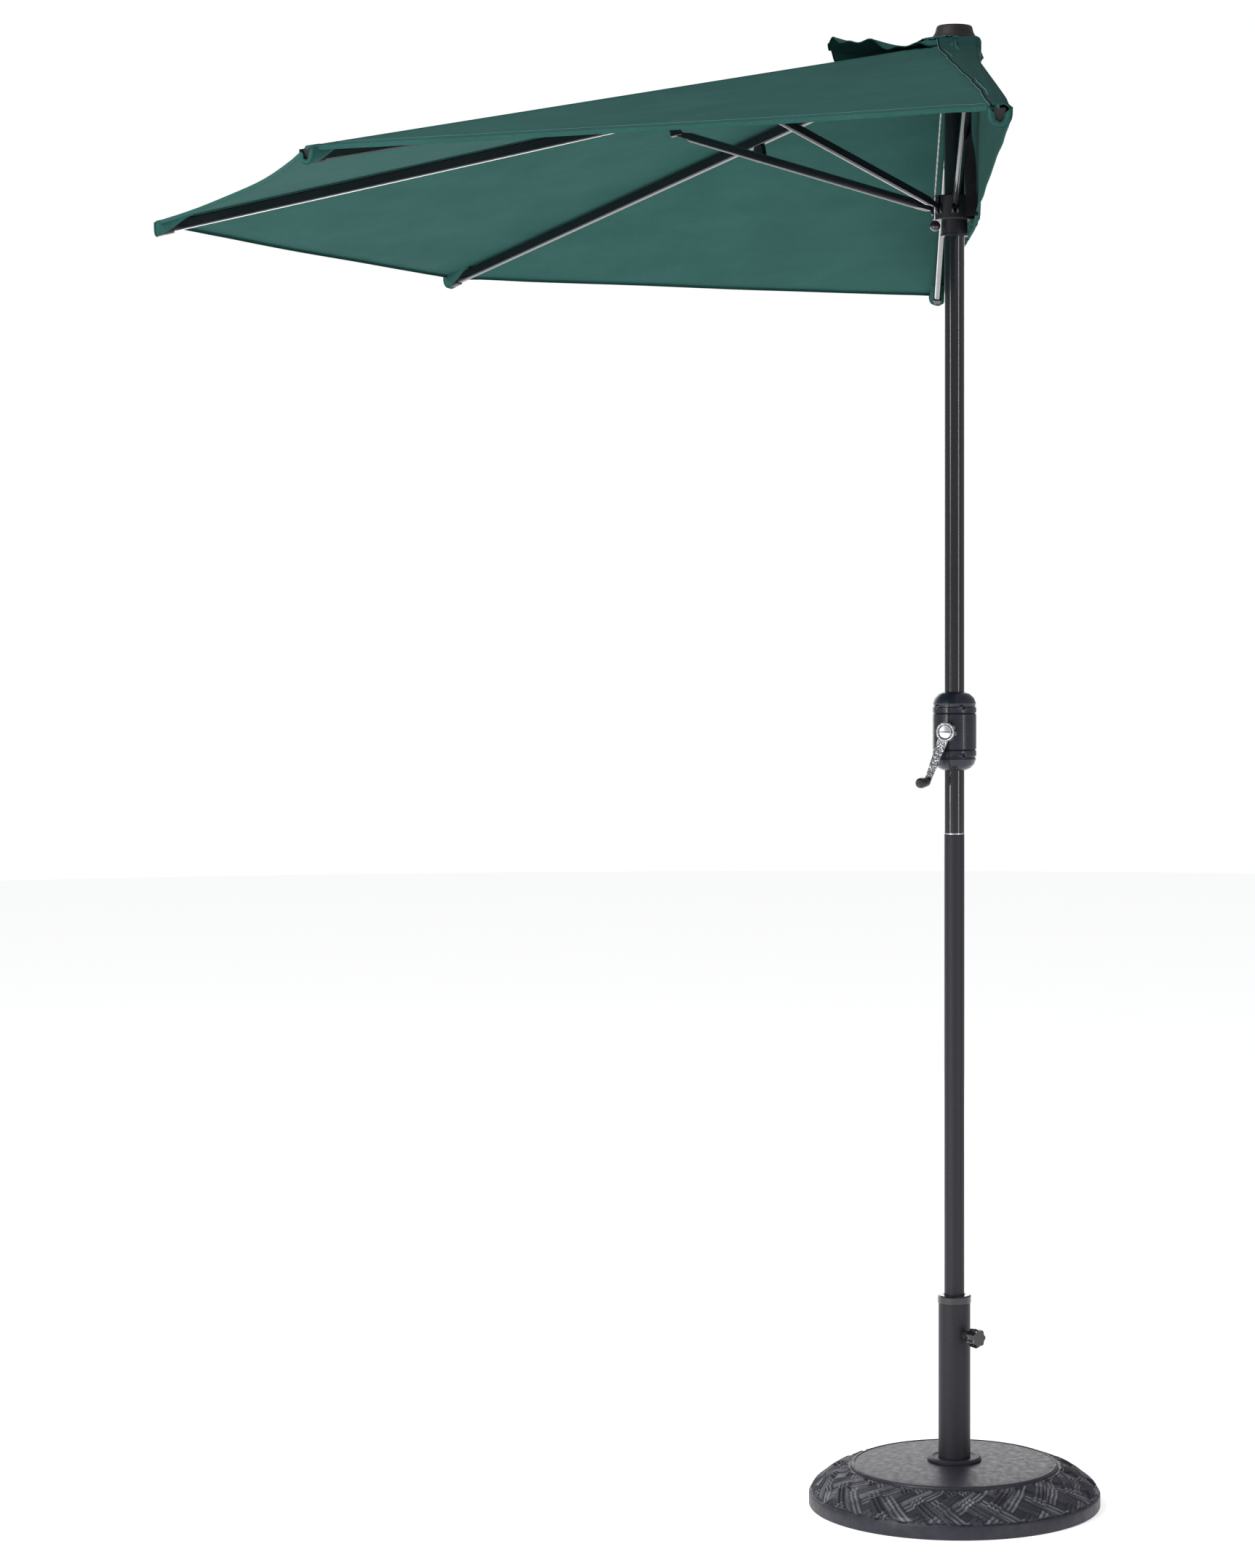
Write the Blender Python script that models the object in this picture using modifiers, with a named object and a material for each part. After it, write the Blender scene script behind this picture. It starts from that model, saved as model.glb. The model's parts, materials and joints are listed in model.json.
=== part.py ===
"""Half-round balcony parasol with a cast weight, a crank lift and a folding five-rib canopy.

Metres, +Z up. The origin is on the floor, on the mast's axis. The canopy spreads to -Y, and its wall side is at +Y.
Rib 1 points to +X, rib 3 to -Y and rib 5 to -X. A rib pivot, its strut pivot and the runner pivot make an
isosceles triangle, so the runner stays on the mast at every angle of the fold.
"""

import math

import bmesh
import bpy
from mathutils import Matrix, Vector

# ---- Driving dimensions -------------------------------------------------------------------------------------------
GAP = 0.0003  # between faces that touch
RUNNING = 0.0005  # radial clearance of what slides or turns

# Cast weight
WEIGHT_R = 0.2313
WEIGHT_RIM_H = 0.0200
WEIGHT_PLATE_R = 0.1600
WEIGHT_TOP_Z = 0.0695
WEIGHT_HOLLOW_H = 0.0200
WEIGHT_HOLLOW_R = (0.0750, 0.2050)
SOCKET_FLOOR_Z = 0.0300
BOTTOM_CAP_R = 0.0350
BOTTOM_CAP_T = 0.0040
BOLT_R = 0.0050
BOLT_HEAD_R = 0.0098
BOLT_HEAD_T = 0.0070

# Socket tube, its rose, its collar and its clamp
TUBE_R = 0.0255
TUBE_WALL = 0.0018
TUBE_TOP_Z = 0.3200
TUBE_PLATE_T = 0.0080
ROSE_R = 0.0428
ROSE_H = 0.0065
COLLAR_LIP_R = 0.0270
COLLAR_LIP_T = 0.0120
COLLAR_INSERT_H = 0.0350
CLAMP_Z = TUBE_TOP_Z - 0.0500
CLAMP_AZIMUTH = math.radians(42)
CLAMP_BOSS_R = 0.0080
CLAMP_BOSS_L = 0.0080
STUD_R = 0.0040
KNOB_R = 0.0160
KNOB_L = 0.0220
KNOB_LOBES = 7

# Mast
POLE_R = 0.0160
POLE_WALL = 0.0012
POLE_SPLIT_Z = 1.0640
COUPLER_HALF = 0.0900
COUPLER_WALL = 0.0012
COUPLER_RING_H = 0.0016
FOOT_FLANGE_T = 0.0030
FOOT_PLUG_H = 0.0180
SEAT_T = 0.0100

# Crank housing and crank
CRANK_Z = 1.2280
CRANK_AZIMUTH = math.radians(-19)
HOUSING_R = 0.0350
HOUSING_LOW_Z = CRANK_Z - 0.0624
HOUSING_HIGH_Z = CRANK_Z + 0.0625
HOUSING_WALL = 0.0024
SHAFT_R = 0.0040
SPOOL_DRUM_R = 0.0060
SPOOL_FLANGE_R = 0.0095
SPOOL_L = 0.0200
WOUND_R = 0.0085  # mean radius of the cord on the drum
CRANK_HEAD_R = 0.0155
CRANK_HEAD_T = 0.0120
CRANK_REACH = 0.0860
CRANK_LEAN = math.radians(21.8)
CRANK_ARM_T = 0.0050
GRIP_R = 0.0085
GRIP_L = 0.0380
GRIP_PIN_R = 0.0025
SCREW_RADIUS = 0.0260  # of the housing screws' axes from the mast's axis
SCREW_LEVELS = (CRANK_Z - 0.0381, CRANK_Z + 0.0382)

# Canopy frame
RIB_AZIMUTHS = tuple(math.radians(a) for a in (0.5, -45, -90, -135, -180.5))
PIVOT_R = 0.0300
HUB_PIVOT_Z = 2.3020
RIB_SLOPE = math.radians(12.5)
RIB_REACH = 1.2630  # from the mast's axis to the end of the rib's tube
RIB_H = 0.0170
RIB_W = 0.0110
RIB_WALL = 0.0010
TAB_T = 0.0034
EYE_R = 0.0042  # of the eye at the rib's inner end
STRUT_ALONG = 0.4295
STRUT_DROP = 0.0300
STRUT_H = 0.0150
STRUT_W = 0.0110
PIN_R = 0.0011
TIP_L = 0.0250
TIP_END_T = 0.0060
TIP_WALL = 0.0018  # of the end cap above and below the rib
SLOT_W = TAB_T + 0.0008
HUB_R = PIVOT_R + 0.0080
HUB_LOW_Z = HUB_PIVOT_Z - 0.0200
HUB_TOP_Z = HUB_PIVOT_Z + 0.0202
MAST_TOP_Z = HUB_PIVOT_Z - 0.0050
LINK = math.hypot(STRUT_ALONG, STRUT_DROP)
LINK_SLOPE = RIB_SLOPE + math.atan2(STRUT_DROP, STRUT_ALONG)
RIB_L = (RIB_REACH - PIVOT_R) / math.cos(RIB_SLOPE)

# Finial
FINIAL_BRIM_Z = HUB_TOP_Z + 0.0040
FINIAL_H = 0.0245
FINIAL_BRIM_R = 0.0385
FINIAL_TOP_R = 0.0285
FINIAL_STUD_R = 0.0040

# Runner, cord and pulley
RUNNER_PIVOT_Z = HUB_PIVOT_Z - 2 * LINK * math.sin(LINK_SLOPE)
RUNNER_FLANGE_R = PIVOT_R + 0.0045
RUNNER_FLANGE_Z = (RUNNER_PIVOT_Z - 0.0175, RUNNER_PIVOT_Z + 0.0205)
RUNNER_SLEEVE_R = POLE_R + 0.0048
RUNNER_SLEEVE_L = 0.0254
CORD_R = 0.0015
CORD_AZIMUTH = math.radians(-67.5)
CORD_BALL_R = 0.0085
CORD_BALL_Z = RUNNER_FLANGE_Z[0] - 0.0100
CORD_OUT_R = PIVOT_R + 0.0035
PULLEY_Z = HUB_PIVOT_Z - 0.0525
PULLEY_CORD_R = 0.0135
PULLEY_OFFSET = POLE_R - 0.0095
PULLEY_T = 0.0058

# Fabric
FABRIC_T = 0.0012
FABRIC_RISE = RIB_H / 2 + TIP_WALL + 0.0012  # of the cloth's underside above a rib's centre line
FABRIC_IN_R = HUB_R + 0.0060
FABRIC_OUT_R = RIB_REACH + 0.0080
CROWN_HALF_W = HUB_R - 0.0070  # of the wall side's opening behind the hub
WALL_DROP = 0.0187  # of the wall panel's hem below the edge of the slope
WALL_Y = RIB_REACH * math.sin(RIB_AZIMUTHS[0]) + RIB_W / 2 + 0.0055
WALL_BULGE = HUB_R + 0.0040 - WALL_Y
FLAP_R = 0.2500
FLAP_RISE = 0.0180

ROUND = 24  # segments of the mast and of what fits on it


# ---- Tools --------------------------------------------------------------------------------------------------------
for leftover in list(bpy.data.objects):
    bpy.data.objects.remove(leftover)


def new_collection(name):
    collection = bpy.data.collections.new(name)
    bpy.context.scene.collection.children.link(collection)
    return collection


PARASOL = new_collection("balcony_parasol")
CUTTERS = new_collection("cutters")


def material(name, color, roughness, metallic=0.0):
    """A plain surface of one colour."""
    made = bpy.data.materials.new(name)
    made.use_nodes = True
    surface = made.node_tree.nodes["Principled BSDF"]
    surface.inputs["Base Color"].default_value = (*color, 1.0)
    surface.inputs["Roughness"].default_value = roughness
    surface.inputs["Metallic"].default_value = metallic
    return made


CAST_STONE = material("cast_stone", (0.045, 0.045, 0.060), 0.5)
BLACK_STEEL = material("black_steel", (0.020, 0.020, 0.026), 0.3, 0.4)
GLOSS_STEEL = material("gloss_steel", (0.012, 0.012, 0.016), 0.15, 0.4)
BLACK_PLASTIC = material("black_plastic", (0.014, 0.014, 0.018), 0.35)
HOUSING_PLASTIC = material("housing_plastic", (0.016, 0.018, 0.030), 0.4)
CHROME = material("chrome", (0.75, 0.75, 0.78), 0.12, 1.0)
ZINC = material("zinc", (0.55, 0.55, 0.57), 0.35, 1.0)
CORD_WHITE = material("cord_white", (0.72, 0.72, 0.70), 0.7)
CLOTH = material("green_cloth", (0.020, 0.085, 0.065), 0.85)


def as_object(name, mesh, finish=None):
    """A mesh as a named object: a sub-part with its finish, or a hidden cutter without one."""
    made = bpy.data.objects.new(name, mesh)
    if finish is None:
        CUTTERS.objects.link(made)
        made.hide_render = True
        made.display_type = "WIRE"
    else:
        PARASOL.objects.link(made)
        if not mesh.materials:
            mesh.materials.append(finish)
    return made


def from_bmesh(name, bm, finish=None):
    bmesh.ops.recalc_face_normals(bm, faces=bm.faces)
    mesh = bpy.data.meshes.new(name)
    bm.to_mesh(mesh)
    bm.free()
    return as_object(name, mesh, finish)


def box(name, low, high, finish=None):
    """A box between two corners."""
    low, high = Vector(low), Vector(high)
    bm = bmesh.new()
    place = Matrix.Translation((low + high) / 2) @ Matrix.Diagonal((*(high - low), 1.0))
    bmesh.ops.create_cube(bm, size=1.0, matrix=place)
    return from_bmesh(name, bm, finish)


def rod(name, radius, start, end, finish=None, segments=16):
    """A cylinder from one point to another."""
    start, end = Vector(start), Vector(end)
    turn = (end - start).to_track_quat("Z", "Y").to_matrix().to_4x4()
    bm = bmesh.new()
    bmesh.ops.create_cone(
        bm,
        cap_ends=True,
        segments=segments,
        radius1=radius,
        radius2=radius,
        depth=(end - start).length,
        matrix=Matrix.Translation((start + end) / 2) @ turn,
    )
    made = from_bmesh(name, bm, finish)
    made.data.shade_smooth()
    made.data.set_sharp_from_angle(angle=math.radians(35))
    return made


def turned(name, profile, finish=None, segments=ROUND, closed=True):
    """A profile of (radius, height) points turned about Z. It runs down the outer side, and up the inner one."""
    bm = bmesh.new()
    points = [bm.verts.new((r, 0.0, z)) for r, z in profile]
    for a, b in zip(points, points[1:]):
        bm.edges.new((a, b))
    if closed:
        bm.edges.new((points[-1], points[0]))
    mesh = bpy.data.meshes.new(name)
    bm.to_mesh(mesh)
    bm.free()
    made = as_object(name, mesh, finish)
    screw = made.modifiers.new("turn", "SCREW")
    screw.steps = segments
    screw.render_steps = segments
    screw.use_merge_vertices = True
    screw.merge_threshold = 0.00001
    screw.use_smooth_shade = False
    return made


def boolean(target, cutter, operation="DIFFERENCE"):
    step = target.modifiers.new(operation.lower(), "BOOLEAN")
    step.operation = operation
    step.object = cutter
    return target


def rounded(target, width, segments=1, angle=40):
    bevel = target.modifiers.new("rounding", "BEVEL")
    bevel.width = width
    bevel.segments = segments
    bevel.limit_method = "ANGLE"
    bevel.angle_limit = math.radians(angle)
    return target


def frozen(target):
    """The object with its modifiers applied, so that others can share its mesh."""
    bpy.context.view_layer.update()
    evaluated = target.evaluated_get(bpy.context.evaluated_depsgraph_get())
    mesh = bpy.data.meshes.new_from_object(evaluated)
    target.modifiers.clear()
    target.data = mesh
    return target


def aimed(made, origin, azimuth, pitch=0.0):
    """Places a piece that is modelled along +X: turned to the azimuth, and pitched down by the angle."""
    turn = Matrix.Rotation(azimuth, 4, "Z") @ Matrix.Rotation(pitch, 4, "Y")
    made.matrix_world = Matrix.Translation(origin) @ turn
    return made


def radial(azimuth, radius, z=0.0):
    return Vector((radius * math.cos(azimuth), radius * math.sin(azimuth), z))


def cord_tube(name, points, radius, finish, sides=2):
    """A round cord or wire through points, with capped ends."""
    curve = bpy.data.curves.new(name, "CURVE")
    curve.dimensions = "3D"
    curve.bevel_depth = radius
    curve.bevel_resolution = sides
    curve.use_fill_caps = True
    spline = curve.splines.new("POLY")
    spline.points.add(len(points) - 1)
    for knot, at in zip(spline.points, points):
        knot.co = (*at, 1.0)
    made = bpy.data.objects.new(name, curve)
    PARASOL.objects.link(made)
    curve.materials.append(finish)
    return made


def ring(name, major, minor, z, finish, segments=30):
    """A wire ring about the mast."""
    section = [
        (major + minor * math.cos(a), z + minor * math.sin(a))
        for a in (-math.tau * i / 5 for i in range(5))
    ]
    return turned(name, section, finish, segments)


# ---- Weight, socket tube and clamp --------------------------------------------------------------------------------
def make_weight():
    slope = [
        (WEIGHT_PLATE_R + 0.0060, WEIGHT_TOP_Z - 0.0035),
        (WEIGHT_PLATE_R + 0.0100, WEIGHT_TOP_Z - 0.0060),
        (WEIGHT_R - 0.0393, WEIGHT_TOP_Z - 0.0175),
        (WEIGHT_R - 0.0282, WEIGHT_TOP_Z - 0.0245),
        (WEIGHT_R - 0.0097, WEIGHT_RIM_H + 0.0110),
        (WEIGHT_R - 0.0032, WEIGHT_RIM_H + 0.0020),
    ]
    well_r = BOLT_HEAD_R + 0.0130
    profile = [
        (TUBE_R + RUNNING, WEIGHT_TOP_Z),
        (WEIGHT_PLATE_R / 2, WEIGHT_TOP_Z - 0.0010),
        (WEIGHT_PLATE_R, WEIGHT_TOP_Z - 0.0048),
        *slope,
        (WEIGHT_R, WEIGHT_RIM_H),
        (WEIGHT_R, 0.0015),
        (WEIGHT_R - 0.0015, 0.0),
        (WEIGHT_HOLLOW_R[1], 0.0),
        (WEIGHT_HOLLOW_R[1] - 0.0080, WEIGHT_HOLLOW_H),
        (WEIGHT_HOLLOW_R[0] + 0.0080, WEIGHT_HOLLOW_H),
        (WEIGHT_HOLLOW_R[0], 0.0),
        (BOTTOM_CAP_R + GAP, 0.0),
        (BOTTOM_CAP_R + GAP, BOTTOM_CAP_T + GAP),
        (well_r, BOTTOM_CAP_T + GAP),
        (well_r, SOCKET_FLOOR_Z - 0.0135),
        (BOLT_R + RUNNING, SOCKET_FLOOR_Z - 0.0135),
        (BOLT_R + RUNNING, SOCKET_FLOOR_Z),
        (TUBE_R + RUNNING, SOCKET_FLOOR_Z),
    ]
    turned("base_weight", profile, CAST_STONE, segments=40)
    rod("bottom_cap", BOTTOM_CAP_R, (0, 0, 0), (0, 0, BOTTOM_CAP_T), BLACK_PLASTIC, segments=32)


def make_tie_bolt():
    seat = SOCKET_FLOOR_Z - 0.0135 - GAP
    head = rod("tie_bolt", BOLT_HEAD_R, (0, 0, seat - BOLT_HEAD_T), (0, 0, seat), ZINC, segments=6)
    top = SOCKET_FLOOR_Z + TUBE_PLATE_T + 0.0050
    shank = rod("tie_bolt_shank", BOLT_R, (0, 0, seat - 0.0030), (0, 0, top))
    boolean(head, shank, "UNION")


def make_socket_tube():
    low = SOCKET_FLOOR_Z + GAP
    bore = TUBE_R - TUBE_WALL
    plate_top = low + TUBE_PLATE_T
    tube = turned(
        "base_tube",
        [
            (TUBE_R, TUBE_TOP_Z),
            (TUBE_R, low),
            (BOLT_R + RUNNING, low),
            (BOLT_R + RUNNING, plate_top),
            (bore, plate_top),
            (bore, TUBE_TOP_Z),
        ],
        BLACK_STEEL,
    )
    inside = TUBE_R - TUBE_WALL / 2
    boss = rod(
        "clamp_boss",
        CLAMP_BOSS_R,
        radial(CLAMP_AZIMUTH, inside, CLAMP_Z),
        radial(CLAMP_AZIMUTH, TUBE_R + CLAMP_BOSS_L, CLAMP_Z),
        segments=20,
    )
    hole = rod(
        "clamp_hole",
        STUD_R + RUNNING,
        radial(CLAMP_AZIMUTH, POLE_R, CLAMP_Z),
        radial(CLAMP_AZIMUTH, TUBE_R + CLAMP_BOSS_L + 0.01, CLAMP_Z),
    )
    boolean(boolean(tube, boss, "UNION"), hole)


def make_rose_and_collar():
    low, high = WEIGHT_TOP_Z + GAP, WEIGHT_TOP_Z + ROSE_H
    turned(
        "base_rose",
        [
            (TUBE_R + GAP, high - 0.0020),
            (TUBE_R + 0.0060, high - 0.0020),
            (ROSE_R - 0.0075, high),
            (ROSE_R - 0.0030, high - 0.0004),
            (ROSE_R, high - 0.0030),
            (ROSE_R, low),
            (TUBE_R + GAP, low),
        ],
        BLACK_STEEL,
        segments=40,
    )
    insert = TUBE_R - TUBE_WALL - GAP
    lip = TUBE_TOP_Z + GAP
    turned(
        "socket_collar",
        [
            (POLE_R + 0.0014, lip + COLLAR_LIP_T),
            (COLLAR_LIP_R - 0.0020, lip + COLLAR_LIP_T),
            (COLLAR_LIP_R, lip + COLLAR_LIP_T - 0.0020),
            (COLLAR_LIP_R, lip),
            (insert, lip),
            (insert, lip - COLLAR_INSERT_H),
            (POLE_R + RUNNING, lip - COLLAR_INSERT_H),
            (POLE_R + RUNNING, lip + COLLAR_LIP_T - 0.0030),
        ],
        BLACK_PLASTIC,
    )


def make_clamp():
    back = TUBE_R + CLAMP_BOSS_L + 0.0012
    bm = bmesh.new()
    steps = KNOB_LOBES * 6
    sections = ((0.0, 0.60, 0.0), (0.0020, 0.66, 0.0), (0.0060, 0.93, 1.0), (0.0180, 1.0, 1.0), (1.0, 0.88, 1.0))
    loops = []
    for along, scale, waves in sections:
        x = min(along, KNOB_L)
        loop = []
        for i in range(steps):
            angle = math.tau * i / steps
            lobe = 1.0 - waves * 0.085 * (1.0 - math.cos(KNOB_LOBES * angle))
            r = KNOB_R * scale * lobe
            loop.append(bm.verts.new((x, r * math.cos(angle), r * math.sin(angle))))
        loops.append(loop)
    for low, high in zip(loops, loops[1:]):
        for i in range(steps):
            j = (i + 1) % steps
            bm.faces.new((low[i], low[j], high[j], high[i]))
    bm.faces.new(loops[0])
    bm.faces.new(list(reversed(loops[-1])))
    knob = from_bmesh("clamp_knob", bm, BLACK_PLASTIC)
    socket = rod("knob_socket", STUD_R + GAP, (-0.01, 0, 0), (KNOB_L - 0.0060, 0, 0))
    aimed(knob, radial(CLAMP_AZIMUTH, back, CLAMP_Z), CLAMP_AZIMUTH)
    aimed(socket, radial(CLAMP_AZIMUTH, back, CLAMP_Z), CLAMP_AZIMUTH)
    boolean(knob, socket)
    stud_end = back + KNOB_L - 0.0060 - GAP
    rod(
        "clamp_stud",
        STUD_R,
        radial(CLAMP_AZIMUTH, POLE_R + RUNNING, CLAMP_Z),
        radial(CLAMP_AZIMUTH, stud_end, CLAMP_Z),
        ZINC,
    )


# ---- Mast ---------------------------------------------------------------------------------------------------------
SEAT_LOW_Z = SOCKET_FLOOR_Z + TUBE_PLATE_T + 2 * GAP
POLE_LOW_Z = SEAT_LOW_Z + SEAT_T + FOOT_FLANGE_T + 2 * GAP


def tube_profile(radius, wall, low, high):
    inner = radius - wall
    return [(radius, high), (radius, low), (inner, low), (inner, high)]


def make_mast_foot():
    low, high = SEAT_LOW_Z, SEAT_LOW_Z + SEAT_T
    well = BOLT_R + 0.0040
    turned(
        "pole_seat",
        [
            (0.0, high),
            (TUBE_R - TUBE_WALL - 0.0012, high),
            (TUBE_R - TUBE_WALL - 0.0012, low),
            (well, low),
            (well, high - 0.0030),
            (0.0, high - 0.0030),
        ],
        BLACK_PLASTIC,
        segments=24,
        closed=False,
    )
    plug = POLE_R - POLE_WALL - GAP
    foot_low = high + GAP
    foot_high = foot_low + FOOT_FLANGE_T
    turned(
        "pole_foot",
        [
            (0.0, foot_high + FOOT_PLUG_H),
            (plug - 0.0015, foot_high + FOOT_PLUG_H),
            (plug, foot_high + FOOT_PLUG_H - 0.0015),
            (plug, foot_high),
            (POLE_R, foot_high),
            (POLE_R, foot_low),
            (0.0, foot_low),
        ],
        BLACK_PLASTIC,
        segments=24,
        closed=False,
    )


def make_poles():
    turned("lower_pole", tube_profile(POLE_R, POLE_WALL, POLE_LOW_Z, POLE_SPLIT_Z), BLACK_STEEL)
    sleeve = POLE_R - POLE_WALL - GAP
    bore = sleeve - COUPLER_WALL
    ring_low = POLE_SPLIT_Z + GAP
    ring_high = ring_low + COUPLER_RING_H
    turned(
        "pole_coupler",
        [
            (sleeve, POLE_SPLIT_Z + COUPLER_HALF),
            (sleeve, ring_high),
            (POLE_R + GAP, ring_high),
            (POLE_R + GAP, ring_low),
            (sleeve, ring_low),
            (sleeve, POLE_SPLIT_Z - COUPLER_HALF),
            (bore, POLE_SPLIT_Z - COUPLER_HALF),
            (bore, POLE_SPLIT_Z + COUPLER_HALF),
        ],
        ZINC,
    )
    upper = turned("upper_pole", tube_profile(POLE_R, POLE_WALL, ring_high + GAP, MAST_TOP_Z), GLOSS_STEEL)
    shaft_hole = rod(
        "shaft_hole",
        SHAFT_R + 0.0015,
        radial(CRANK_AZIMUTH, -0.03, CRANK_Z),
        radial(CRANK_AZIMUTH, 0.03, CRANK_Z),
    )
    reach = PULLEY_CORD_R + CORD_R + 0.0035
    slot = box(
        "pulley_slot",
        (0.0, -PULLEY_T / 2 - 0.0012, -reach),
        (0.03, PULLEY_T / 2 + 0.0012, reach),
    )
    aimed(slot, (0, 0, PULLEY_Z), CORD_AZIMUTH)
    across = radial(CORD_AZIMUTH + math.pi / 2, 0.03)
    at = radial(CORD_AZIMUTH, PULLEY_OFFSET, PULLEY_Z)
    axle_hole = rod("axle_hole", 0.0020 + GAP, at - across, at + across, segments=12)
    for cutter in (shaft_hole, slot, axle_hole):
        boolean(upper, cutter)


# ---- Crank housing, crank and cord spool --------------------------------------------------------------------------
def crank_point(along, across=0.0, z=CRANK_Z):
    """A point at a distance along the crank's axis, and across it."""
    return radial(CRANK_AZIMUTH, along, z) + radial(CRANK_AZIMUTH + math.pi / 2, across)


def housing_profile():
    low, high = HOUSING_LOW_Z, HOUSING_HIGH_Z
    bore = POLE_R + RUNNING
    inside = HOUSING_R - HOUSING_WALL
    dome = [
        (bore + 0.0010, 0.0),
        ((bore + HOUSING_R) / 2 - 0.0005, 0.0035),
        (HOUSING_R - 0.0035, 0.0100),
        (HOUSING_R - 0.0005, 0.0180),
    ]
    shoulder = (bore + inside) / 2 + 0.0009
    groove = 0.0016
    outer = [(bore, high)]
    outer += [(radius, high - drop) for radius, drop in dome]
    outer += [
        (HOUSING_R - groove, high - 0.0215),
        (HOUSING_R - groove, high - 0.0235),
        (HOUSING_R, high - 0.0245),
        (HOUSING_R, high - 0.0325),
        (HOUSING_R - groove, high - 0.0340),
        (HOUSING_R, high - 0.0355),
        (HOUSING_R, low + 0.0345),
        (HOUSING_R - groove, low + 0.0330),
        (HOUSING_R, low + 0.0315),
        (HOUSING_R, low + 0.0235),
        (HOUSING_R - groove, low + 0.0220),
        (HOUSING_R - groove, low + 0.0200),
    ]
    outer += [(radius, low + drop) for radius, drop in reversed(dome)]
    inner = [
        (bore, low),
        (bore, low + HOUSING_WALL),
        (shoulder, low + 0.0090),
        (inside, low + 0.0230),
        (inside, high - 0.0230),
        (shoulder, high - 0.0090),
        (bore, high - HOUSING_WALL),
    ]
    return outer + inner


def make_housing():
    reach = 0.06
    for name, side in (("housing_right", 1), ("housing_left", -1)):
        shell = turned(name, housing_profile(), HOUSING_PLASTIC, segments=22)
        keep_low, keep_high = sorted((side * GAP / 2, side * reach))
        for level, z in enumerate(SCREW_LEVELS):
            wall = math.sqrt(HOUSING_R**2 - SCREW_RADIUS**2)
            boss = rod(
                f"{name}_boss_{level}",
                0.0040,
                crank_point(SCREW_RADIUS, 0.0, z),
                crank_point(SCREW_RADIUS, side * (wall - 0.0012), z),
                segments=12,
            )
            boolean(shell, boss, "UNION")
            hole = rod(
                f"{name}_hole_{level}",
                0.0018,
                crank_point(SCREW_RADIUS, -0.0160, z),
                crank_point(SCREW_RADIUS, 0.0400, z),
                segments=10,
            )
            boolean(shell, hole)
            if side > 0:
                sink = rod(
                    f"{name}_sink_{level}",
                    0.0036,
                    crank_point(SCREW_RADIUS, wall - 0.0042, z),
                    crank_point(SCREW_RADIUS, wall + 0.0200, z),
                    segments=16,
                )
                boolean(shell, sink)
        bore = rod(
            f"{name}_shaft_bore",
            SHAFT_R + 0.0012,
            crank_point(0.0),
            crank_point(0.05),
            segments=20,
        )
        boolean(shell, bore)
        half = box(f"{name}_half", (-reach, keep_low, HOUSING_LOW_Z - 0.01), (reach, keep_high, HOUSING_HIGH_Z + 0.01))
        aimed(half, (0, 0, 0), CRANK_AZIMUTH)
        boolean(shell, half, "INTERSECT")
    for label, z in zip(("lower", "upper"), SCREW_LEVELS):
        wall = math.sqrt(HOUSING_R**2 - SCREW_RADIUS**2)
        seat = wall - 0.0042 + GAP
        head = rod(
            f"housing_screw_{label}",
            0.0031,
            crank_point(SCREW_RADIUS, seat, z),
            crank_point(SCREW_RADIUS, seat + 0.0022, z),
            ZINC,
            segments=14,
        )
        shank = rod(
            f"screw_shank_{label}",
            0.0014,
            crank_point(SCREW_RADIUS, -0.0130, z),
            crank_point(SCREW_RADIUS, seat + 0.0010, z),
            segments=8,
        )
        boolean(head, shank, "UNION")


def make_crank():
    inner_end = -POLE_R - 0.0030
    head_back = HOUSING_R + 0.0022
    head_front = head_back + CRANK_HEAD_T
    rod(
        "crank_shaft",
        SHAFT_R,
        crank_point(inner_end),
        crank_point(head_front - 0.0050),
        ZINC,
    )
    half = SPOOL_L / 2
    flange = 0.0015
    spool = turned(
        "cord_spool",
        [
            (SHAFT_R + GAP, half),
            (SPOOL_FLANGE_R, half),
            (SPOOL_FLANGE_R, half - flange),
            (SPOOL_DRUM_R, half - flange),
            (SPOOL_DRUM_R, flange - half),
            (SPOOL_FLANGE_R, flange - half),
            (SPOOL_FLANGE_R, -half),
            (SHAFT_R + GAP, -half),
        ],
        ZINC,
        segments=24,
    )
    along_axis = Matrix.Rotation(math.pi / 2, 4, "Y")
    spool.matrix_world = (
        Matrix.Translation(crank_point(0.0)) @ Matrix.Rotation(CRANK_AZIMUTH, 4, "Z") @ along_axis
    )
    make_brake_spring()
    make_crank_arm(head_back, head_front)


def make_brake_spring():
    coil_r, wire_r, turns = 0.0078, 0.0007, 4
    start, end = POLE_R + 0.0020, HOUSING_R - HOUSING_WALL - 0.0020
    steps = turns * 10
    points = []
    for i in range(steps + 1):
        angle = math.tau * turns * i / steps
        centre = crank_point(start + (end - start) * i / steps, coil_r * math.cos(angle))
        points.append(centre + Vector((0, 0, coil_r * math.sin(angle))))
    cord_tube("brake_spring", points, wire_r, ZINC, sides=0)


def crank_frame():
    """A frame at the crank's axis: X out along the axis, Z down the arm."""
    turn = Matrix.Rotation(CRANK_AZIMUTH, 4, "Z") @ Matrix.Rotation(math.pi - CRANK_LEAN, 4, "X")
    return Matrix.Translation(crank_point(0.0)) @ turn


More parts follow.
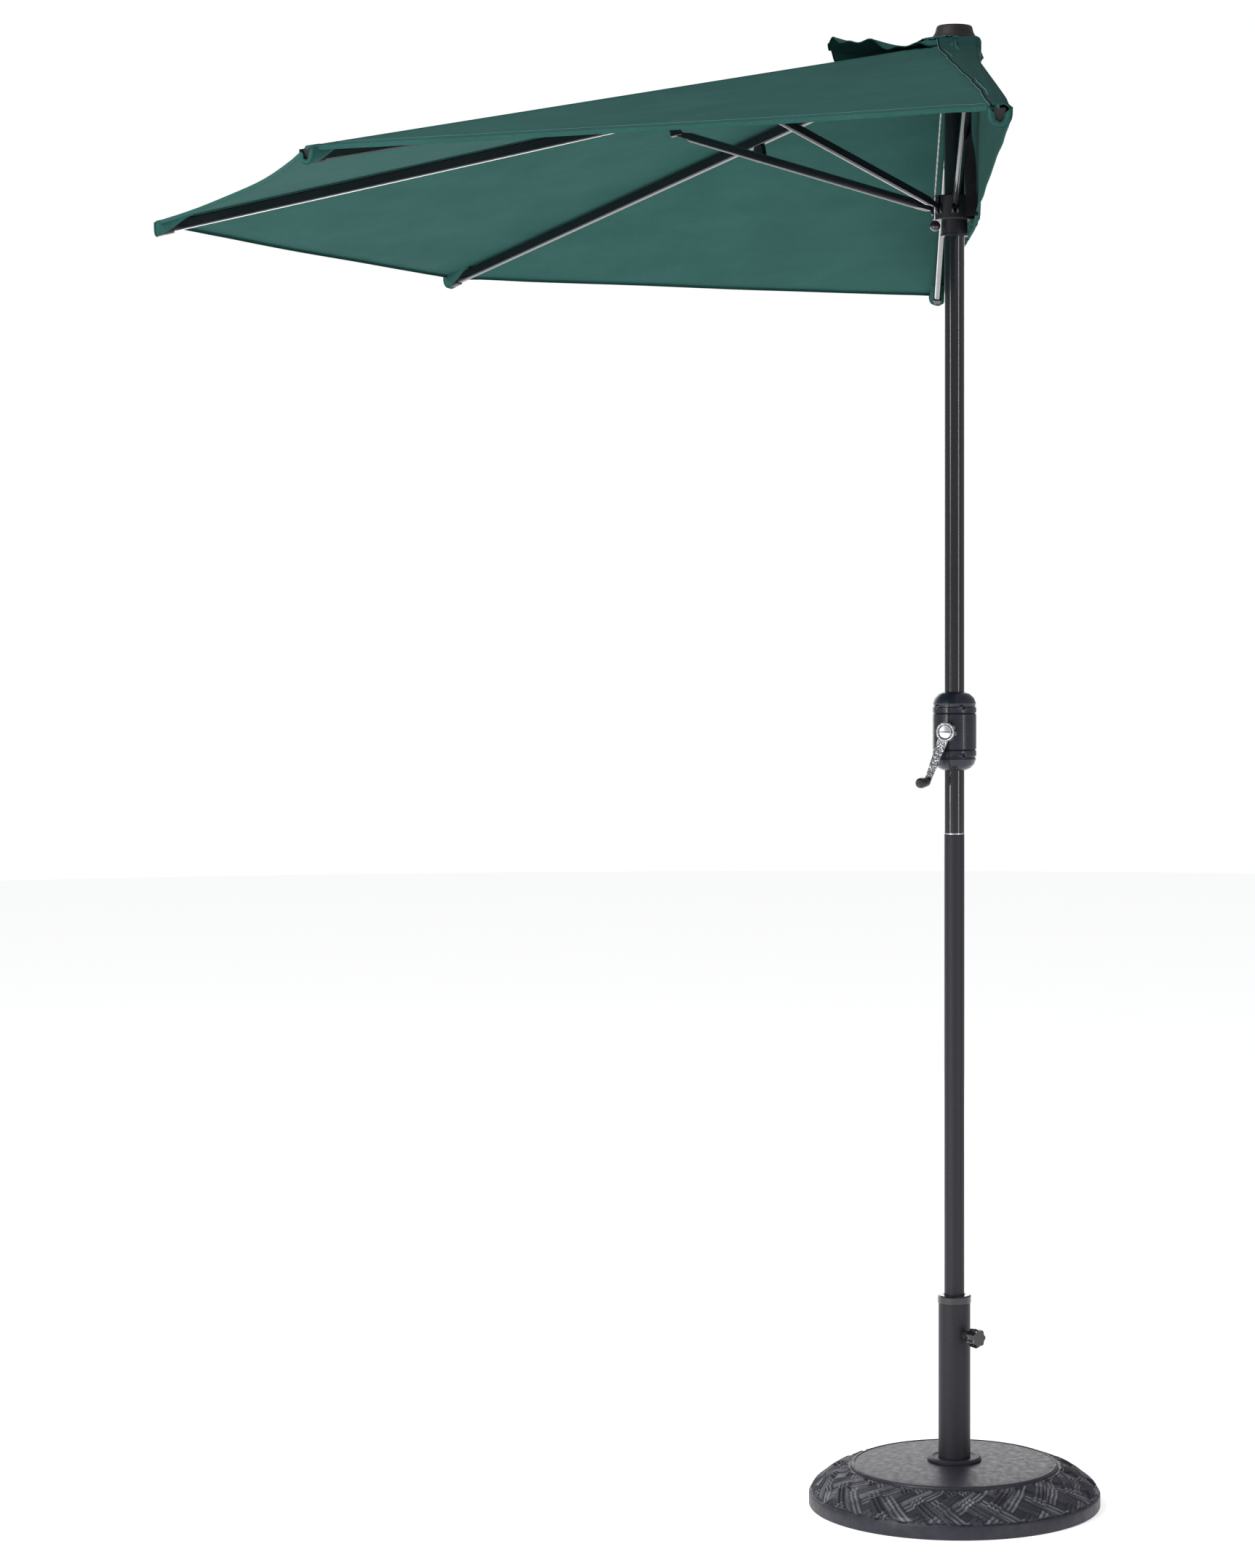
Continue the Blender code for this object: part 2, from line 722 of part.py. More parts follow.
def make_crank_arm(head_back, head_front):
    place = crank_frame()
    arm_mid = head_back + 0.0060
    arm = rod("crank_arm", CRANK_HEAD_R, (head_back, 0, 0), (head_front, 0, 0), CHROME, segments=28)
    bm = bmesh.new()
    widths = ((0.0, 0.0085), (0.35, 0.0075), (0.80, 0.0052), (1.0, 0.0050), (1.06, 0.0030))
    loops = []
    for share, half_width in widths:
        z = share * CRANK_REACH
        x_low, x_high = arm_mid - CRANK_ARM_T / 2, arm_mid + CRANK_ARM_T / 2
        corners = ((x_low, -half_width), (x_high, -half_width), (x_high, half_width), (x_low, half_width))
        loops.append([bm.verts.new((x, y, z)) for x, y in corners])
    for low, high in zip(loops, loops[1:]):
        for i in range(4):
            j = (i + 1) % 4
            bm.faces.new((low[i], low[j], high[j], high[i]))
    bm.faces.new(list(reversed(loops[0])))
    bm.faces.new(loops[-1])
    blade = from_bmesh("crank_blade", bm)
    shaft_hole = rod("arm_shaft_hole", SHAFT_R + GAP, (0, 0, 0), (head_front - 0.0048, 0, 0))
    cap_seat = rod("arm_cap_seat", 0.0104, (head_front - 0.0020, 0, 0), (head_front + 0.01, 0, 0), segments=24)
    pin_hole = rod("arm_pin_hole", GRIP_PIN_R + GAP, (0, 0, CRANK_REACH), (0.1, 0, CRANK_REACH), segments=12)
    boolean(arm, blade, "UNION")
    for cutter in (shaft_hole, cap_seat, pin_hole):
        boolean(arm, cutter)
    cap = rod(
        "crank_cap", 0.0104 - GAP, (head_front - 0.0020 + GAP, 0, 0), (head_front + 0.0006, 0, 0), CHROME, segments=24
    )
    grip_low = arm_mid + CRANK_ARM_T / 2 + GAP
    grip_high = grip_low + GRIP_L
    pin = rod(
        "grip_pin",
        GRIP_PIN_R,
        (arm_mid - CRANK_ARM_T / 2, 0, CRANK_REACH),
        (grip_high - 0.0020, 0, CRANK_REACH),
        ZINC,
        segments=12,
    )
    grip = turned(
        "crank_grip",
        [
            (0.0, GRIP_L),
            (0.60 * GRIP_R, GRIP_L - 0.0008),
            (0.92 * GRIP_R, GRIP_L - 0.0045),
            (GRIP_R, 0.62 * GRIP_L),
            (0.86 * GRIP_R, 0.25 * GRIP_L),
            (0.78 * GRIP_R, 0.0),
            (GRIP_PIN_R + RUNNING, 0.0),
            (GRIP_PIN_R + RUNNING, GRIP_L - 0.0015),
            (0.0, GRIP_L - 0.0015),
        ],
        BLACK_PLASTIC,
        segments=20,
        closed=False,
    )
    for piece in (arm, blade, shaft_hole, cap_seat, pin_hole, cap, pin):
        piece.matrix_world = place
    out_along_x = Matrix.Translation((grip_low, 0, CRANK_REACH)) @ Matrix.Rotation(math.pi / 2, 4, "Y")
    grip.matrix_world = place @ out_along_x


# ---- Hub, finial, pulley and runner -------------------------------------------------------------------------------
def cut_rib_slots(body, prefix, inner, low, high):
    """Radial slots for the flat ends of the ribs or struts."""
    for number, azimuth in enumerate(RIB_AZIMUTHS, 1):
        slot = box(f"{prefix}_slot_{number}", (inner, -SLOT_W / 2, low), (0.06, SLOT_W / 2, high))
        aimed(slot, (0, 0, 0), azimuth)
        boolean(body, slot)


def make_hub():
    bore = POLE_R + GAP
    hub = turned(
        "top_hub",
        [
            (0.0, FINIAL_BRIM_Z + 0.0130),
            (FINIAL_STUD_R, FINIAL_BRIM_Z + 0.0130),
            (FINIAL_STUD_R, HUB_TOP_Z),
            (HUB_R - 0.0015, HUB_TOP_Z),
            (HUB_R, HUB_TOP_Z - 0.0015),
            (HUB_R, HUB_LOW_Z),
            (bore, HUB_LOW_Z),
            (bore, MAST_TOP_Z + GAP),
            (0.0, MAST_TOP_Z + GAP),
        ],
        BLACK_PLASTIC,
        closed=False,
    )
    groove = turned(
        "hub_groove",
        tube_profile(PIVOT_R + 0.0018, 0.0036, HUB_LOW_Z - 0.01, HUB_PIVOT_Z + 0.0016),
    )
    boolean(hub, groove)
    cut_rib_slots(hub, "hub", POLE_R + 0.0035, HUB_LOW_Z - 0.01, HUB_PIVOT_Z + EYE_R + 0.0006)
    ring("hub_ring", PIVOT_R, PIN_R, HUB_PIVOT_Z, ZINC)


def make_finial():
    low, high = FINIAL_BRIM_Z, FINIAL_BRIM_Z + FINIAL_H
    turned(
        "finial_cap",
        [
            (0.0, high),
            (0.60 * FINIAL_TOP_R, high - 0.0007),
            (FINIAL_TOP_R - 0.0015, high - 0.0020),
            (FINIAL_TOP_R, high - 0.0036),
            (FINIAL_TOP_R + 0.0022, low + 0.0125),
            (FINIAL_TOP_R + 0.0065, low + 0.0050),
            (FINIAL_BRIM_R - 0.0006, low + 0.0036),
            (FINIAL_BRIM_R, low + 0.0024),
            (FINIAL_BRIM_R, low),
            (FINIAL_BRIM_R - 0.0030, low),
            (FINIAL_TOP_R - 0.0005, low + 0.0060),
            (0.0085, low + 0.0060),
            (0.0085, low + 0.0002),
            (FINIAL_STUD_R + RUNNING, low + 0.0002),
            (FINIAL_STUD_R + RUNNING, low + 0.0150),
            (0.0, low + 0.0150),
        ],
        BLACK_PLASTIC,
        closed=False,
    )


def make_pulley():
    axle_r = 0.0020
    rim = PULLEY_CORD_R + CORD_R - 0.0004
    half = PULLEY_T / 2
    pulley = turned(
        "cord_pulley",
        [
            (axle_r + RUNNING, half),
            (rim, half),
            (rim, half - 0.0006),
            (PULLEY_CORD_R - CORD_R - GAP, 0.0014),
            (PULLEY_CORD_R - CORD_R - GAP, -0.0014),
            (rim, 0.0006 - half),
            (rim, -half),
            (axle_r + RUNNING, -half),
        ],
        ZINC,
        segments=24,
    )
    across = radial(CORD_AZIMUTH + math.pi / 2, 1.0)
    at = radial(CORD_AZIMUTH, PULLEY_OFFSET, PULLEY_Z)
    pulley.matrix_world = Matrix.Translation(at) @ across.to_track_quat("Z", "Y").to_matrix().to_4x4()
    half_axle = math.sqrt(POLE_R**2 - PULLEY_OFFSET**2)
    rod("pulley_axle", axle_r, at - half_axle * across, at + half_axle * across, ZINC, segments=12)


def make_cord():
    """The inner run rises from the drum inside the mast and over the pulley. The outer run ends in a ball."""
    drum = crank_point(0.0, SPOOL_DRUM_R + CORD_R + GAP)
    rise = radial(CORD_AZIMUTH, PULLEY_OFFSET - PULLEY_CORD_R, PULLEY_Z)
    arc = [
        radial(
            CORD_AZIMUTH,
            PULLEY_OFFSET - PULLEY_CORD_R * math.cos(a),
            PULLEY_Z + PULLEY_CORD_R * math.sin(a),
        )
        for a in (math.pi * i / 10 for i in range(1, 11))
    ]
    straight = [drum.lerp(rise, i / 4) for i in range(5)]
    cord_tube("lift_cord_inner", straight + arc, CORD_R, CORD_WHITE, sides=1)
    leaves = radial(CORD_AZIMUTH, PULLEY_OFFSET + PULLEY_CORD_R, PULLEY_Z - GAP)
    notch = radial(CORD_AZIMUTH, CORD_OUT_R, RUNNER_FLANGE_Z[1])
    ball_top = radial(CORD_AZIMUTH, CORD_OUT_R, CORD_BALL_Z + CORD_BALL_R + GAP)
    down = [leaves.lerp(notch, i / 6) for i in range(7)]
    cord_tube("lift_cord", down + [ball_top], CORD_R, CORD_WHITE, sides=1)
    bm = bmesh.new()
    centre = radial(CORD_AZIMUTH, CORD_OUT_R, CORD_BALL_Z)
    bmesh.ops.create_uvsphere(
        bm, u_segments=14, v_segments=10, radius=CORD_BALL_R, matrix=Matrix.Translation(centre)
    )
    from_bmesh("cord_ball", bm, BLACK_PLASTIC)


def make_runner():
    low, high = RUNNER_FLANGE_Z
    sleeve_low = low - RUNNER_SLEEVE_L
    bore = POLE_R + RUNNING
    runner = turned(
        "runner",
        [
            (bore, high),
            (RUNNER_FLANGE_R - 0.0012, high),
            (RUNNER_FLANGE_R, high - 0.0012),
            (RUNNER_FLANGE_R, low + 0.0012),
            (RUNNER_FLANGE_R - 0.0012, low),
            (RUNNER_SLEEVE_R, low),
            (RUNNER_SLEEVE_R, sleeve_low + 0.0035),
            (RUNNER_SLEEVE_R + 0.0012, sleeve_low + 0.0030),
            (RUNNER_SLEEVE_R + 0.0012, sleeve_low),
            (bore, sleeve_low),
        ],
        BLACK_PLASTIC,
    )
    groove = turned(
        "runner_groove",
        tube_profile(PIVOT_R + 0.0016, 0.0032, RUNNER_PIVOT_Z - 0.0015, high + 0.01),
    )
    boolean(runner, groove)
    cut_rib_slots(runner, "runner", POLE_R + 0.0055, RUNNER_PIVOT_Z - 0.0078, high + 0.01)
    notch = box(
        "cord_notch",
        (CORD_OUT_R - CORD_R - 0.0002, -CORD_R - 0.0005, low - 0.01),
        (0.06, CORD_R + 0.0005, high + 0.01),
    )
    aimed(notch, (0, 0, 0), CORD_AZIMUTH)
    boolean(runner, notch)
    ring("runner_ring", PIVOT_R, PIN_R, RUNNER_PIVOT_Z, ZINC)


# ---- Ribs, struts and their brackets ------------------------------------------------------------------------------
def make_rib_mesh():
    """One rib along +X from its hub pivot: an eye, a flat tab, and a rectangular tube that is open at its end."""
    tab_l = 0.0450
    tab = box("rib_model", (0.0, -TAB_T / 2, -EYE_R), (tab_l, TAB_T / 2, EYE_R), GLOSS_STEEL)
    eye = rod("rib_eye", EYE_R, (0, -TAB_T / 2, 0), (0, TAB_T / 2, 0), segments=16)
    tube = rounded(
        box("rib_tube", (tab_l - 0.006, -RIB_W / 2, -RIB_H / 2), (RIB_L, RIB_W / 2, RIB_H / 2)), 0.0018
    )
    inside = box(
        "rib_inside",
        (tab_l + 0.004, RIB_WALL - RIB_W / 2, RIB_WALL - RIB_H / 2),
        (RIB_L + 0.01, RIB_W / 2 - RIB_WALL, RIB_H / 2 - RIB_WALL),
    )
    hole = rod("rib_hole", PIN_R + RUNNING, (0, -0.01, 0), (0, 0.01, 0), segments=12)
    boolean(boolean(boolean(tab, eye, "UNION"), tube, "UNION"), inside)
    return frozen(boolean(tab, hole))


def make_tip_mesh():
    """A plastic end cap: a sleeve on the rib's end, with a flared end wall."""
    side, up = RIB_W / 2 + 0.0015, RIB_H / 2 + TIP_WALL
    start = RIB_L - TIP_L + TIP_END_T
    end = RIB_L + GAP + TIP_END_T
    sleeve = rounded(box("tip_model", (start, -side, -up), (end, side, up), BLACK_PLASTIC), 0.0020)
    flare = rounded(
        box("tip_flare", (end - 0.0035, -side - 0.0014, -up), (end, side + 0.0014, up)), 0.0012
    )
    boolean(sleeve, flare, "UNION")
    clear = GAP
    bore = box(
        "tip_bore",
        (start - 0.01, -RIB_W / 2 - clear, -RIB_H / 2 - clear),
        (RIB_L + GAP, RIB_W / 2 + clear, RIB_H / 2 + clear),
    )
    return frozen(boolean(sleeve, bore))


def make_bracket_mesh():
    """The strut's clevis under the rib, with its rivet."""
    long, side = 0.0095, RIB_W / 2 + 0.0003
    top = -RIB_H / 2 - GAP
    low = -STRUT_DROP - 0.0048
    clevis = box(
        "bracket_model",
        (STRUT_ALONG - long, -side, low),
        (STRUT_ALONG + long, side, top),
        GLOSS_STEEL,
    )
    rounded(clevis, 0.0012)
    gap = box(
        "bracket_gap",
        (STRUT_ALONG - 0.03, -SLOT_W / 2, low - 0.01),
        (STRUT_ALONG + 0.03, SLOT_W / 2, top - 0.0028),
    )
    rivet = rod(
        "bracket_rivet",
        0.0019,
        (STRUT_ALONG, -side - 0.0008, -STRUT_DROP),
        (STRUT_ALONG, side + 0.0008, -STRUT_DROP),
        segments=12,
    )
    boolean(clevis, gap)
    return frozen(boolean(clevis, rivet, "UNION"))


def make_strut_mesh():
    """One strut along +X, from its upper pivot at the origin to its lower one: an oval tube with flat ends."""
    tab_half, upper_tab_l, taper = 0.0046, 0.0130, 0.0110
    lower_tab_l = RUNNER_FLANGE_Z[1] - RUNNER_PIVOT_Z + 0.0020  # clears the runner's slot when it stands up
    sections = (
        (-0.0030, 0.0028, TAB_T / 2),
        (0.0, tab_half, TAB_T / 2),
        (upper_tab_l, tab_half, TAB_T / 2),
        (upper_tab_l + taper, STRUT_H / 2, STRUT_W / 2),
        (LINK - lower_tab_l - taper, STRUT_H / 2, STRUT_W / 2),
        (LINK - lower_tab_l, tab_half, TAB_T / 2),
        (LINK, tab_half, TAB_T / 2),
        (LINK + 0.0030, 0.0028, TAB_T / 2),
    )
    sides = 12
    bm = bmesh.new()
    loops = []
    for x, half_z, half_y in sections:
        loop = []
        for i in range(sides):
            angle = math.tau * (i + 0.5) / sides
            y = max(-half_y, min(half_y, 0.65 * STRUT_W * math.cos(angle)))
            z = half_z * math.sin(angle)
            loop.append(bm.verts.new((x, y, z)))
        loops.append(loop)
    for low, high in zip(loops, loops[1:]):
        for i in range(sides):
            j = (i + 1) % sides
            bm.faces.new((low[i], low[j], high[j], high[i]))
    bm.faces.new(list(reversed(loops[0])))
    bm.faces.new(loops[-1])
    strut = from_bmesh("strut_model", bm, GLOSS_STEEL)
    upper = rod("strut_upper_hole", 0.0019 + RUNNING, (0, -0.01, 0), (0, 0.01, 0), segments=12)
    lower = rod("strut_lower_hole", PIN_R + RUNNING, (LINK, -0.01, 0), (LINK, 0.01, 0), segments=12)
    boolean(strut, upper)
    return frozen(boolean(strut, lower))


def hub_pivot(azimuth):
    return radial(azimuth, PIVOT_R, HUB_PIVOT_Z)


def strut_pivot(azimuth):
    return radial(
        azimuth,
        PIVOT_R + LINK * math.cos(LINK_SLOPE),
        HUB_PIVOT_Z - LINK * math.sin(LINK_SLOPE),
    )


def make_frame():
    models = {
        "rib": make_rib_mesh(),
        "rib_tip": make_tip_mesh(),
        "strut_bracket": make_bracket_mesh(),
        "strut": make_strut_mesh(),
    }
    finishes = {"rib": GLOSS_STEEL, "rib_tip": BLACK_PLASTIC, "strut_bracket": GLOSS_STEEL, "strut": GLOSS_STEEL}
    for number, azimuth in enumerate(RIB_AZIMUTHS, 1):
        for kind in ("rib", "rib_tip", "strut_bracket"):
            copy = as_object(f"{kind}_{number}", models[kind].data, finishes[kind])
            aimed(copy, hub_pivot(azimuth), azimuth, RIB_SLOPE)
        strut = as_object(f"strut_{number}", models["strut"].data, finishes["strut"])
        aimed(strut, strut_pivot(azimuth), azimuth, math.pi - LINK_SLOPE)
    for model in models.values():
        bpy.data.objects.remove(model)


# ---- Canopy -------------------------------------------------------------------------------------------------------
def fabric_z(radius):
    """The height of the cloth's underside over a rib, at a distance from the mast's axis."""
    return HUB_PIVOT_Z - (radius - PIVOT_R) * math.tan(RIB_SLOPE) + FABRIC_RISE / math.cos(RIB_SLOPE)


def wall_y(x):
    """How far the wall panel stands behind the mast: it bulges round the hub and the runner."""
    share = max(0.0, 1.0 - abs(x) / 0.30)
    return WALL_Y + WALL_BULGE * share * share * (3 - 2 * share)


def sheet(name, rows, thickness):
    """A sheet through rows of points, thickened on its outer side."""
    bm = bmesh.new()
    across, along = len(rows[0]) - 1, len(rows) - 1
    bmesh.ops.create_grid(bm, x_segments=across, y_segments=along, size=0.5)
    bm.verts.ensure_lookup_table()
    for v in bm.verts:
        i = round((v.co.x + 0.5) * across)
        j = round((v.co.y + 0.5) * along)
        v.co = rows[j][i]
    bm.normal_update()
    if sum(face.normal.z * face.calc_area() for face in bm.faces) < 0:
        bmesh.ops.reverse_faces(bm, faces=bm.faces)
    mesh = bpy.data.meshes.new(name)
    bm.to_mesh(mesh)
    bm.free()
    made = as_object(name, mesh, CLOTH)
    solid = made.modifiers.new("thickness", "SOLIDIFY")
    solid.thickness = thickness
    solid.offset = 1.0
    return made


def seam_point(azimuth_a, azimuth_b, radius):
    """A point on the middle line between two ribs, on the flat gore that they span."""
    a = radial(azimuth_a, radius, fabric_z(radius))
    b = radial(azimuth_b, radius, fabric_z(radius))
    return (a + b) / 2


def make_canopy():
    """Five sectors, each centred on its rib and ending at the middle of a gore, a hair short of its neighbour."""
    hair = 0.0004
    radii = [FABRIC_IN_R + (FABRIC_OUT_R - FABRIC_IN_R) * i / 6 for i in range(7)]
    for number, azimuth in enumerate(RIB_AZIMUTHS, 1):
        before = RIB_AZIMUTHS[number - 2] if number > 1 else None
        after = RIB_AZIMUTHS[number] if number < len(RIB_AZIMUTHS) else None
        rows = []
        for radius in radii:
            on_rib = radial(azimuth, radius, fabric_z(radius))
            row = [on_rib]
            if before is not None:
                middle = seam_point(before, azimuth, radius)
                row.insert(0, middle + (on_rib - middle).normalized() * hair)
            if after is not None:
                middle = seam_point(azimuth, after, radius)
                row.append(middle + (on_rib - middle).normalized() * hair)
            if before is None or after is None:
                side = 1.0 if before is None else -1.0
                share = (radius - FABRIC_IN_R) / (FABRIC_OUT_R - FABRIC_IN_R)
                edge_x = side * (CROWN_HALF_W + (FABRIC_OUT_R - CROWN_HALF_W) * share)
                foot_x = side * (hair + (FABRIC_OUT_R - hair) * share)
                edge = Vector((edge_x, wall_y(edge_x), on_rib.z))
                foot = Vector((foot_x, wall_y(foot_x), fabric_z(FABRIC_OUT_R) - WALL_DROP))
                row = [foot, edge] + row if before is None else row + [edge, foot]
            rows.append(row)
        sheet(f"canopy_panel_{number}", rows, FABRIC_T)


def make_vent_flap():
    """The second, smaller layer round the finial, lifting to its free edge."""
    first, last = RIB_AZIMUTHS[0] - 0.02, RIB_AZIMUTHS[-1] + 0.02
    rows = []
    for share in (0.0, 0.35, 0.7, 1.0):
        radius = FABRIC_IN_R + (FLAP_R - FABRIC_IN_R) * share
        lift = FABRIC_T + 0.0012 + FLAP_RISE * share**1.5
        rows.append(
            [radial(first + (last - first) * i / 16, radius, fabric_z(radius) + lift) for i in range(17)]
        )
    sheet("vent_flap", rows, FABRIC_T)


make_weight()
make_tie_bolt()
make_socket_tube()
make_rose_and_collar()
make_clamp()
make_mast_foot()
make_poles()
make_housing()
make_crank()
make_hub()
make_finial()
make_pulley()
make_cord()
make_runner()
make_frame()
make_canopy()
make_vent_flap()
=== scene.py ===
"""Looks of the half-round balcony parasol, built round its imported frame.

Metres, +Z up, in the CAD's frame. Rib 1 points to +X, rib 3 to -Y and rib 5 to -X. The wall side is at +Y.
"""

import contextlib
import json
import math

import bmesh
import bpy
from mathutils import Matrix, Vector, noise
from mathutils.bvhtree import BVHTree


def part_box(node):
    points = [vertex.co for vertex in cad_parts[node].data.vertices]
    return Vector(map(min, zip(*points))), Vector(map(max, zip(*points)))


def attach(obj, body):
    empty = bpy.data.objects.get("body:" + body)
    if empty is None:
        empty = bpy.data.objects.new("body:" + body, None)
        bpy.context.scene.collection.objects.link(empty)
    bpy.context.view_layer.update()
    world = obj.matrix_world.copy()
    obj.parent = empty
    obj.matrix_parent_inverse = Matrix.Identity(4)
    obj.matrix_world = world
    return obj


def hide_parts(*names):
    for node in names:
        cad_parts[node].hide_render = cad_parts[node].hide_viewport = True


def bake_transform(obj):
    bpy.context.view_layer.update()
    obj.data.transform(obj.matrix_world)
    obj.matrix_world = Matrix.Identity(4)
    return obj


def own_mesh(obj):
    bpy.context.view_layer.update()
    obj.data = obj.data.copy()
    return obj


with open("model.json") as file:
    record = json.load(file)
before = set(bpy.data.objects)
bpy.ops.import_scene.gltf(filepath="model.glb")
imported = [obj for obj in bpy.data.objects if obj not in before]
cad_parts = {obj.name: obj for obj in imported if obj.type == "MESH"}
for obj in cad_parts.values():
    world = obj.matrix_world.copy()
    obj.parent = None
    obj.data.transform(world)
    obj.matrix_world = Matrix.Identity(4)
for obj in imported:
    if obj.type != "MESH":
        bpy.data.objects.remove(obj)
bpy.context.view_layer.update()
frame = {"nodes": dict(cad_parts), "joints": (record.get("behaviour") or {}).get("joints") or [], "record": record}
NODES = frame["nodes"]
JOINTS = {joint["name"]: joint for joint in frame["joints"]}

# ---- Places, worked out from the frame -----------------------------------------------------------
RIBS = (1, 2, 3, 4, 5)
FOLD = {i: "canopy_fold" if i == 3 else f"rib_{i}_fold" for i in RIBS}
PIVOT = {i: Vector(JOINTS[FOLD[i]]["pos_m"]) for i in RIBS}
HUB_Z = PIVOT[3].z
PIVOT_R = PIVOT[3].xy.length
RIB_SLOPE = math.radians(12.5)
OUT_R = -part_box("canopy_panel_3")[0].y
HEM_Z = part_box("canopy_panel_1")[0].z
MAST_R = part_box("upper_pole")[1].x
FLANGE_HIGH_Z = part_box("runner")[1].z
FLANGE_LOW_Z = FLANGE_HIGH_Z - 0.0380
BRIM_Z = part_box("finial_cap")[0].z
BRIM_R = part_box("finial_cap")[1].x
WEIGHT_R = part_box("base_weight")[1].x
WEIGHT_TOP_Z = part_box("base_weight")[1].z
CLOTH_T = 0.0012
CLOTH_RISE = 0.0115 / math.cos(RIB_SLOPE)  # of the cloth's underside above a rib's centre line
CROWN_IN_R = 0.0370
CROWN_Z = BRIM_Z - 0.0026
CROWN_OUT_R = 0.0900
HUB_CLOTH_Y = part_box("top_hub")[1].y + 0.0017  # of the wall cloth where it passes the hub
CORD_AZIMUTH = math.radians(-67.5)  # of the lift cord's outer run
CORD_R = 0.0015
STRAP_X = 0.3000  # of the tie strap, and of the stitching that holds it to the wall cloth
STRAP_W = 0.0180
HEM_TURN = 0.0045  # how far a sector's hem turns under
HEM_R = 0.0010  # of the roll at a hem
STITCH_R = 0.0004


def azimuth(i):
    """The direction of a rib, from 0 down to -180 degrees and a little past both."""
    angle = math.atan2(PIVOT[i].y, PIVOT[i].x)
    return angle - math.tau if angle > math.pi / 2 else angle


AZIMUTH = {i: azimuth(i) for i in RIBS}
CRANK_AZIMUTH = math.atan2(JOINTS["crank_turn"]["axis"][1], JOINTS["crank_turn"]["axis"][0])


def radial(angle, radius, z=0.0):
    return Vector((radius * math.cos(angle), radius * math.sin(angle), z))


def tangent(i):
    """The level direction across a rib."""
    return Vector((-math.sin(AZIMUTH[i]), math.cos(AZIMUTH[i]), 0.0))


def smooth(x, low=0.0, high=1.0):
    """Smoothstep from 0 at low to 1 at high."""
    t = max(0.0, min(1.0, (x - low) / (high - low)))
    return t * t * (3 - 2 * t)


def blend(a, b, t):
    return a + (b - a) * t


# ---- Materials -----------------------------------------------------------------------------------
class Paint:
    """A material's node graph, with short calls for the nodes that the finishes use."""

    def __init__(self, name, color, roughness, metallic=0.0, **sockets):
        self.material = bpy.data.materials.new(name)
        self.material.use_nodes = True
        self.nodes = self.material.node_tree.nodes
        self.links = self.material.node_tree.links
        self.surface = self.nodes["Principled BSDF"]
        self.surface.inputs["Base Color"].default_value = (*color, 1.0)
        self.surface.inputs["Roughness"].default_value = roughness
        self.surface.inputs["Metallic"].default_value = metallic
        for socket, value in sockets.items():
            self.surface.inputs[socket.replace("_", " ")].default_value = value
        self.place = self.nodes.new("ShaderNodeTexCoord").outputs["Object"]

    def stretched(self, scale):
        node = self.nodes.new("ShaderNodeMapping")
        node.inputs["Scale"].default_value = scale
        self.links.new(self.place, node.inputs["Vector"])
        return node.outputs["Vector"]

    def uv(self, scale):
        source = self.nodes.new("ShaderNodeUVMap")
        node = self.nodes.new("ShaderNodeMapping")
        node.inputs["Scale"].default_value = scale
        self.links.new(source.outputs["UV"], node.inputs["Vector"])
        return node.outputs["Vector"]

    def noise(self, scale, detail=3.0, place=None, roughness=0.55):
        node = self.nodes.new("ShaderNodeTexNoise")
        node.inputs["Scale"].default_value = scale
        node.inputs["Detail"].default_value = detail
        node.inputs["Roughness"].default_value = roughness
        self.links.new(self.place if place is None else place, node.inputs["Vector"])
        return node.outputs["Fac"]

    def wave(self, direction, place, scale=1.0, distortion=0.0):
        node = self.nodes.new("ShaderNodeTexWave")
        node.bands_direction = direction
        node.inputs["Scale"].default_value = scale
        node.inputs["Distortion"].default_value = distortion
        self.links.new(place, node.inputs["Vector"])
        return node.outputs["Fac"]

    def spread(self, value, low, high, from_low=0.3, from_high=0.7):
        node = self.nodes.new("ShaderNodeMapRange")
        node.inputs["From Min"].default_value = from_low
        node.inputs["From Max"].default_value = from_high
        node.inputs["To Min"].default_value = low
        node.inputs["To Max"].default_value = high
        self.links.new(value, node.inputs["Value"])
        return node.outputs["Result"]

    def math(self, operation, a, b):
        node = self.nodes.new("ShaderNodeMath")
        node.operation = operation
        for socket, value in zip(node.inputs, (a, b)):
            if isinstance(value, (int, float)):
                socket.default_value = value
            else:
                self.links.new(value, socket)
        return node.outputs["Value"]

    def attribute(self, name):
        node = self.nodes.new("ShaderNodeAttribute")
        node.attribute_name = name
        return node.outputs["Fac"]

    def mixed(self, factor, a, b):
        """A colour between a and b. Each is a colour or another colour socket."""
        node = self.nodes.new("ShaderNodeMix")
        node.data_type = "RGBA"
        self.links.new(factor, node.inputs["Factor"])
        for index, value in ((6, a), (7, b)):
            if isinstance(value, (tuple, list)):
                node.inputs[index].default_value = (*value, 1.0)
            else:
                self.links.new(value, node.inputs[index])
        return node.outputs[2]

    def color(self, socket):
        self.links.new(socket, self.surface.inputs["Base Color"])

    def rough(self, socket):
        self.links.new(socket, self.surface.inputs["Roughness"])

    def bump(self, height, distance, strength=1.0):
        node = self.nodes.new("ShaderNodeBump")
        node.inputs["Distance"].default_value = distance
        node.inputs["Strength"].default_value = strength
        self.links.new(height, node.inputs["Height"])
        self.links.new(node.outputs["Normal"], self.surface.inputs["Normal"])


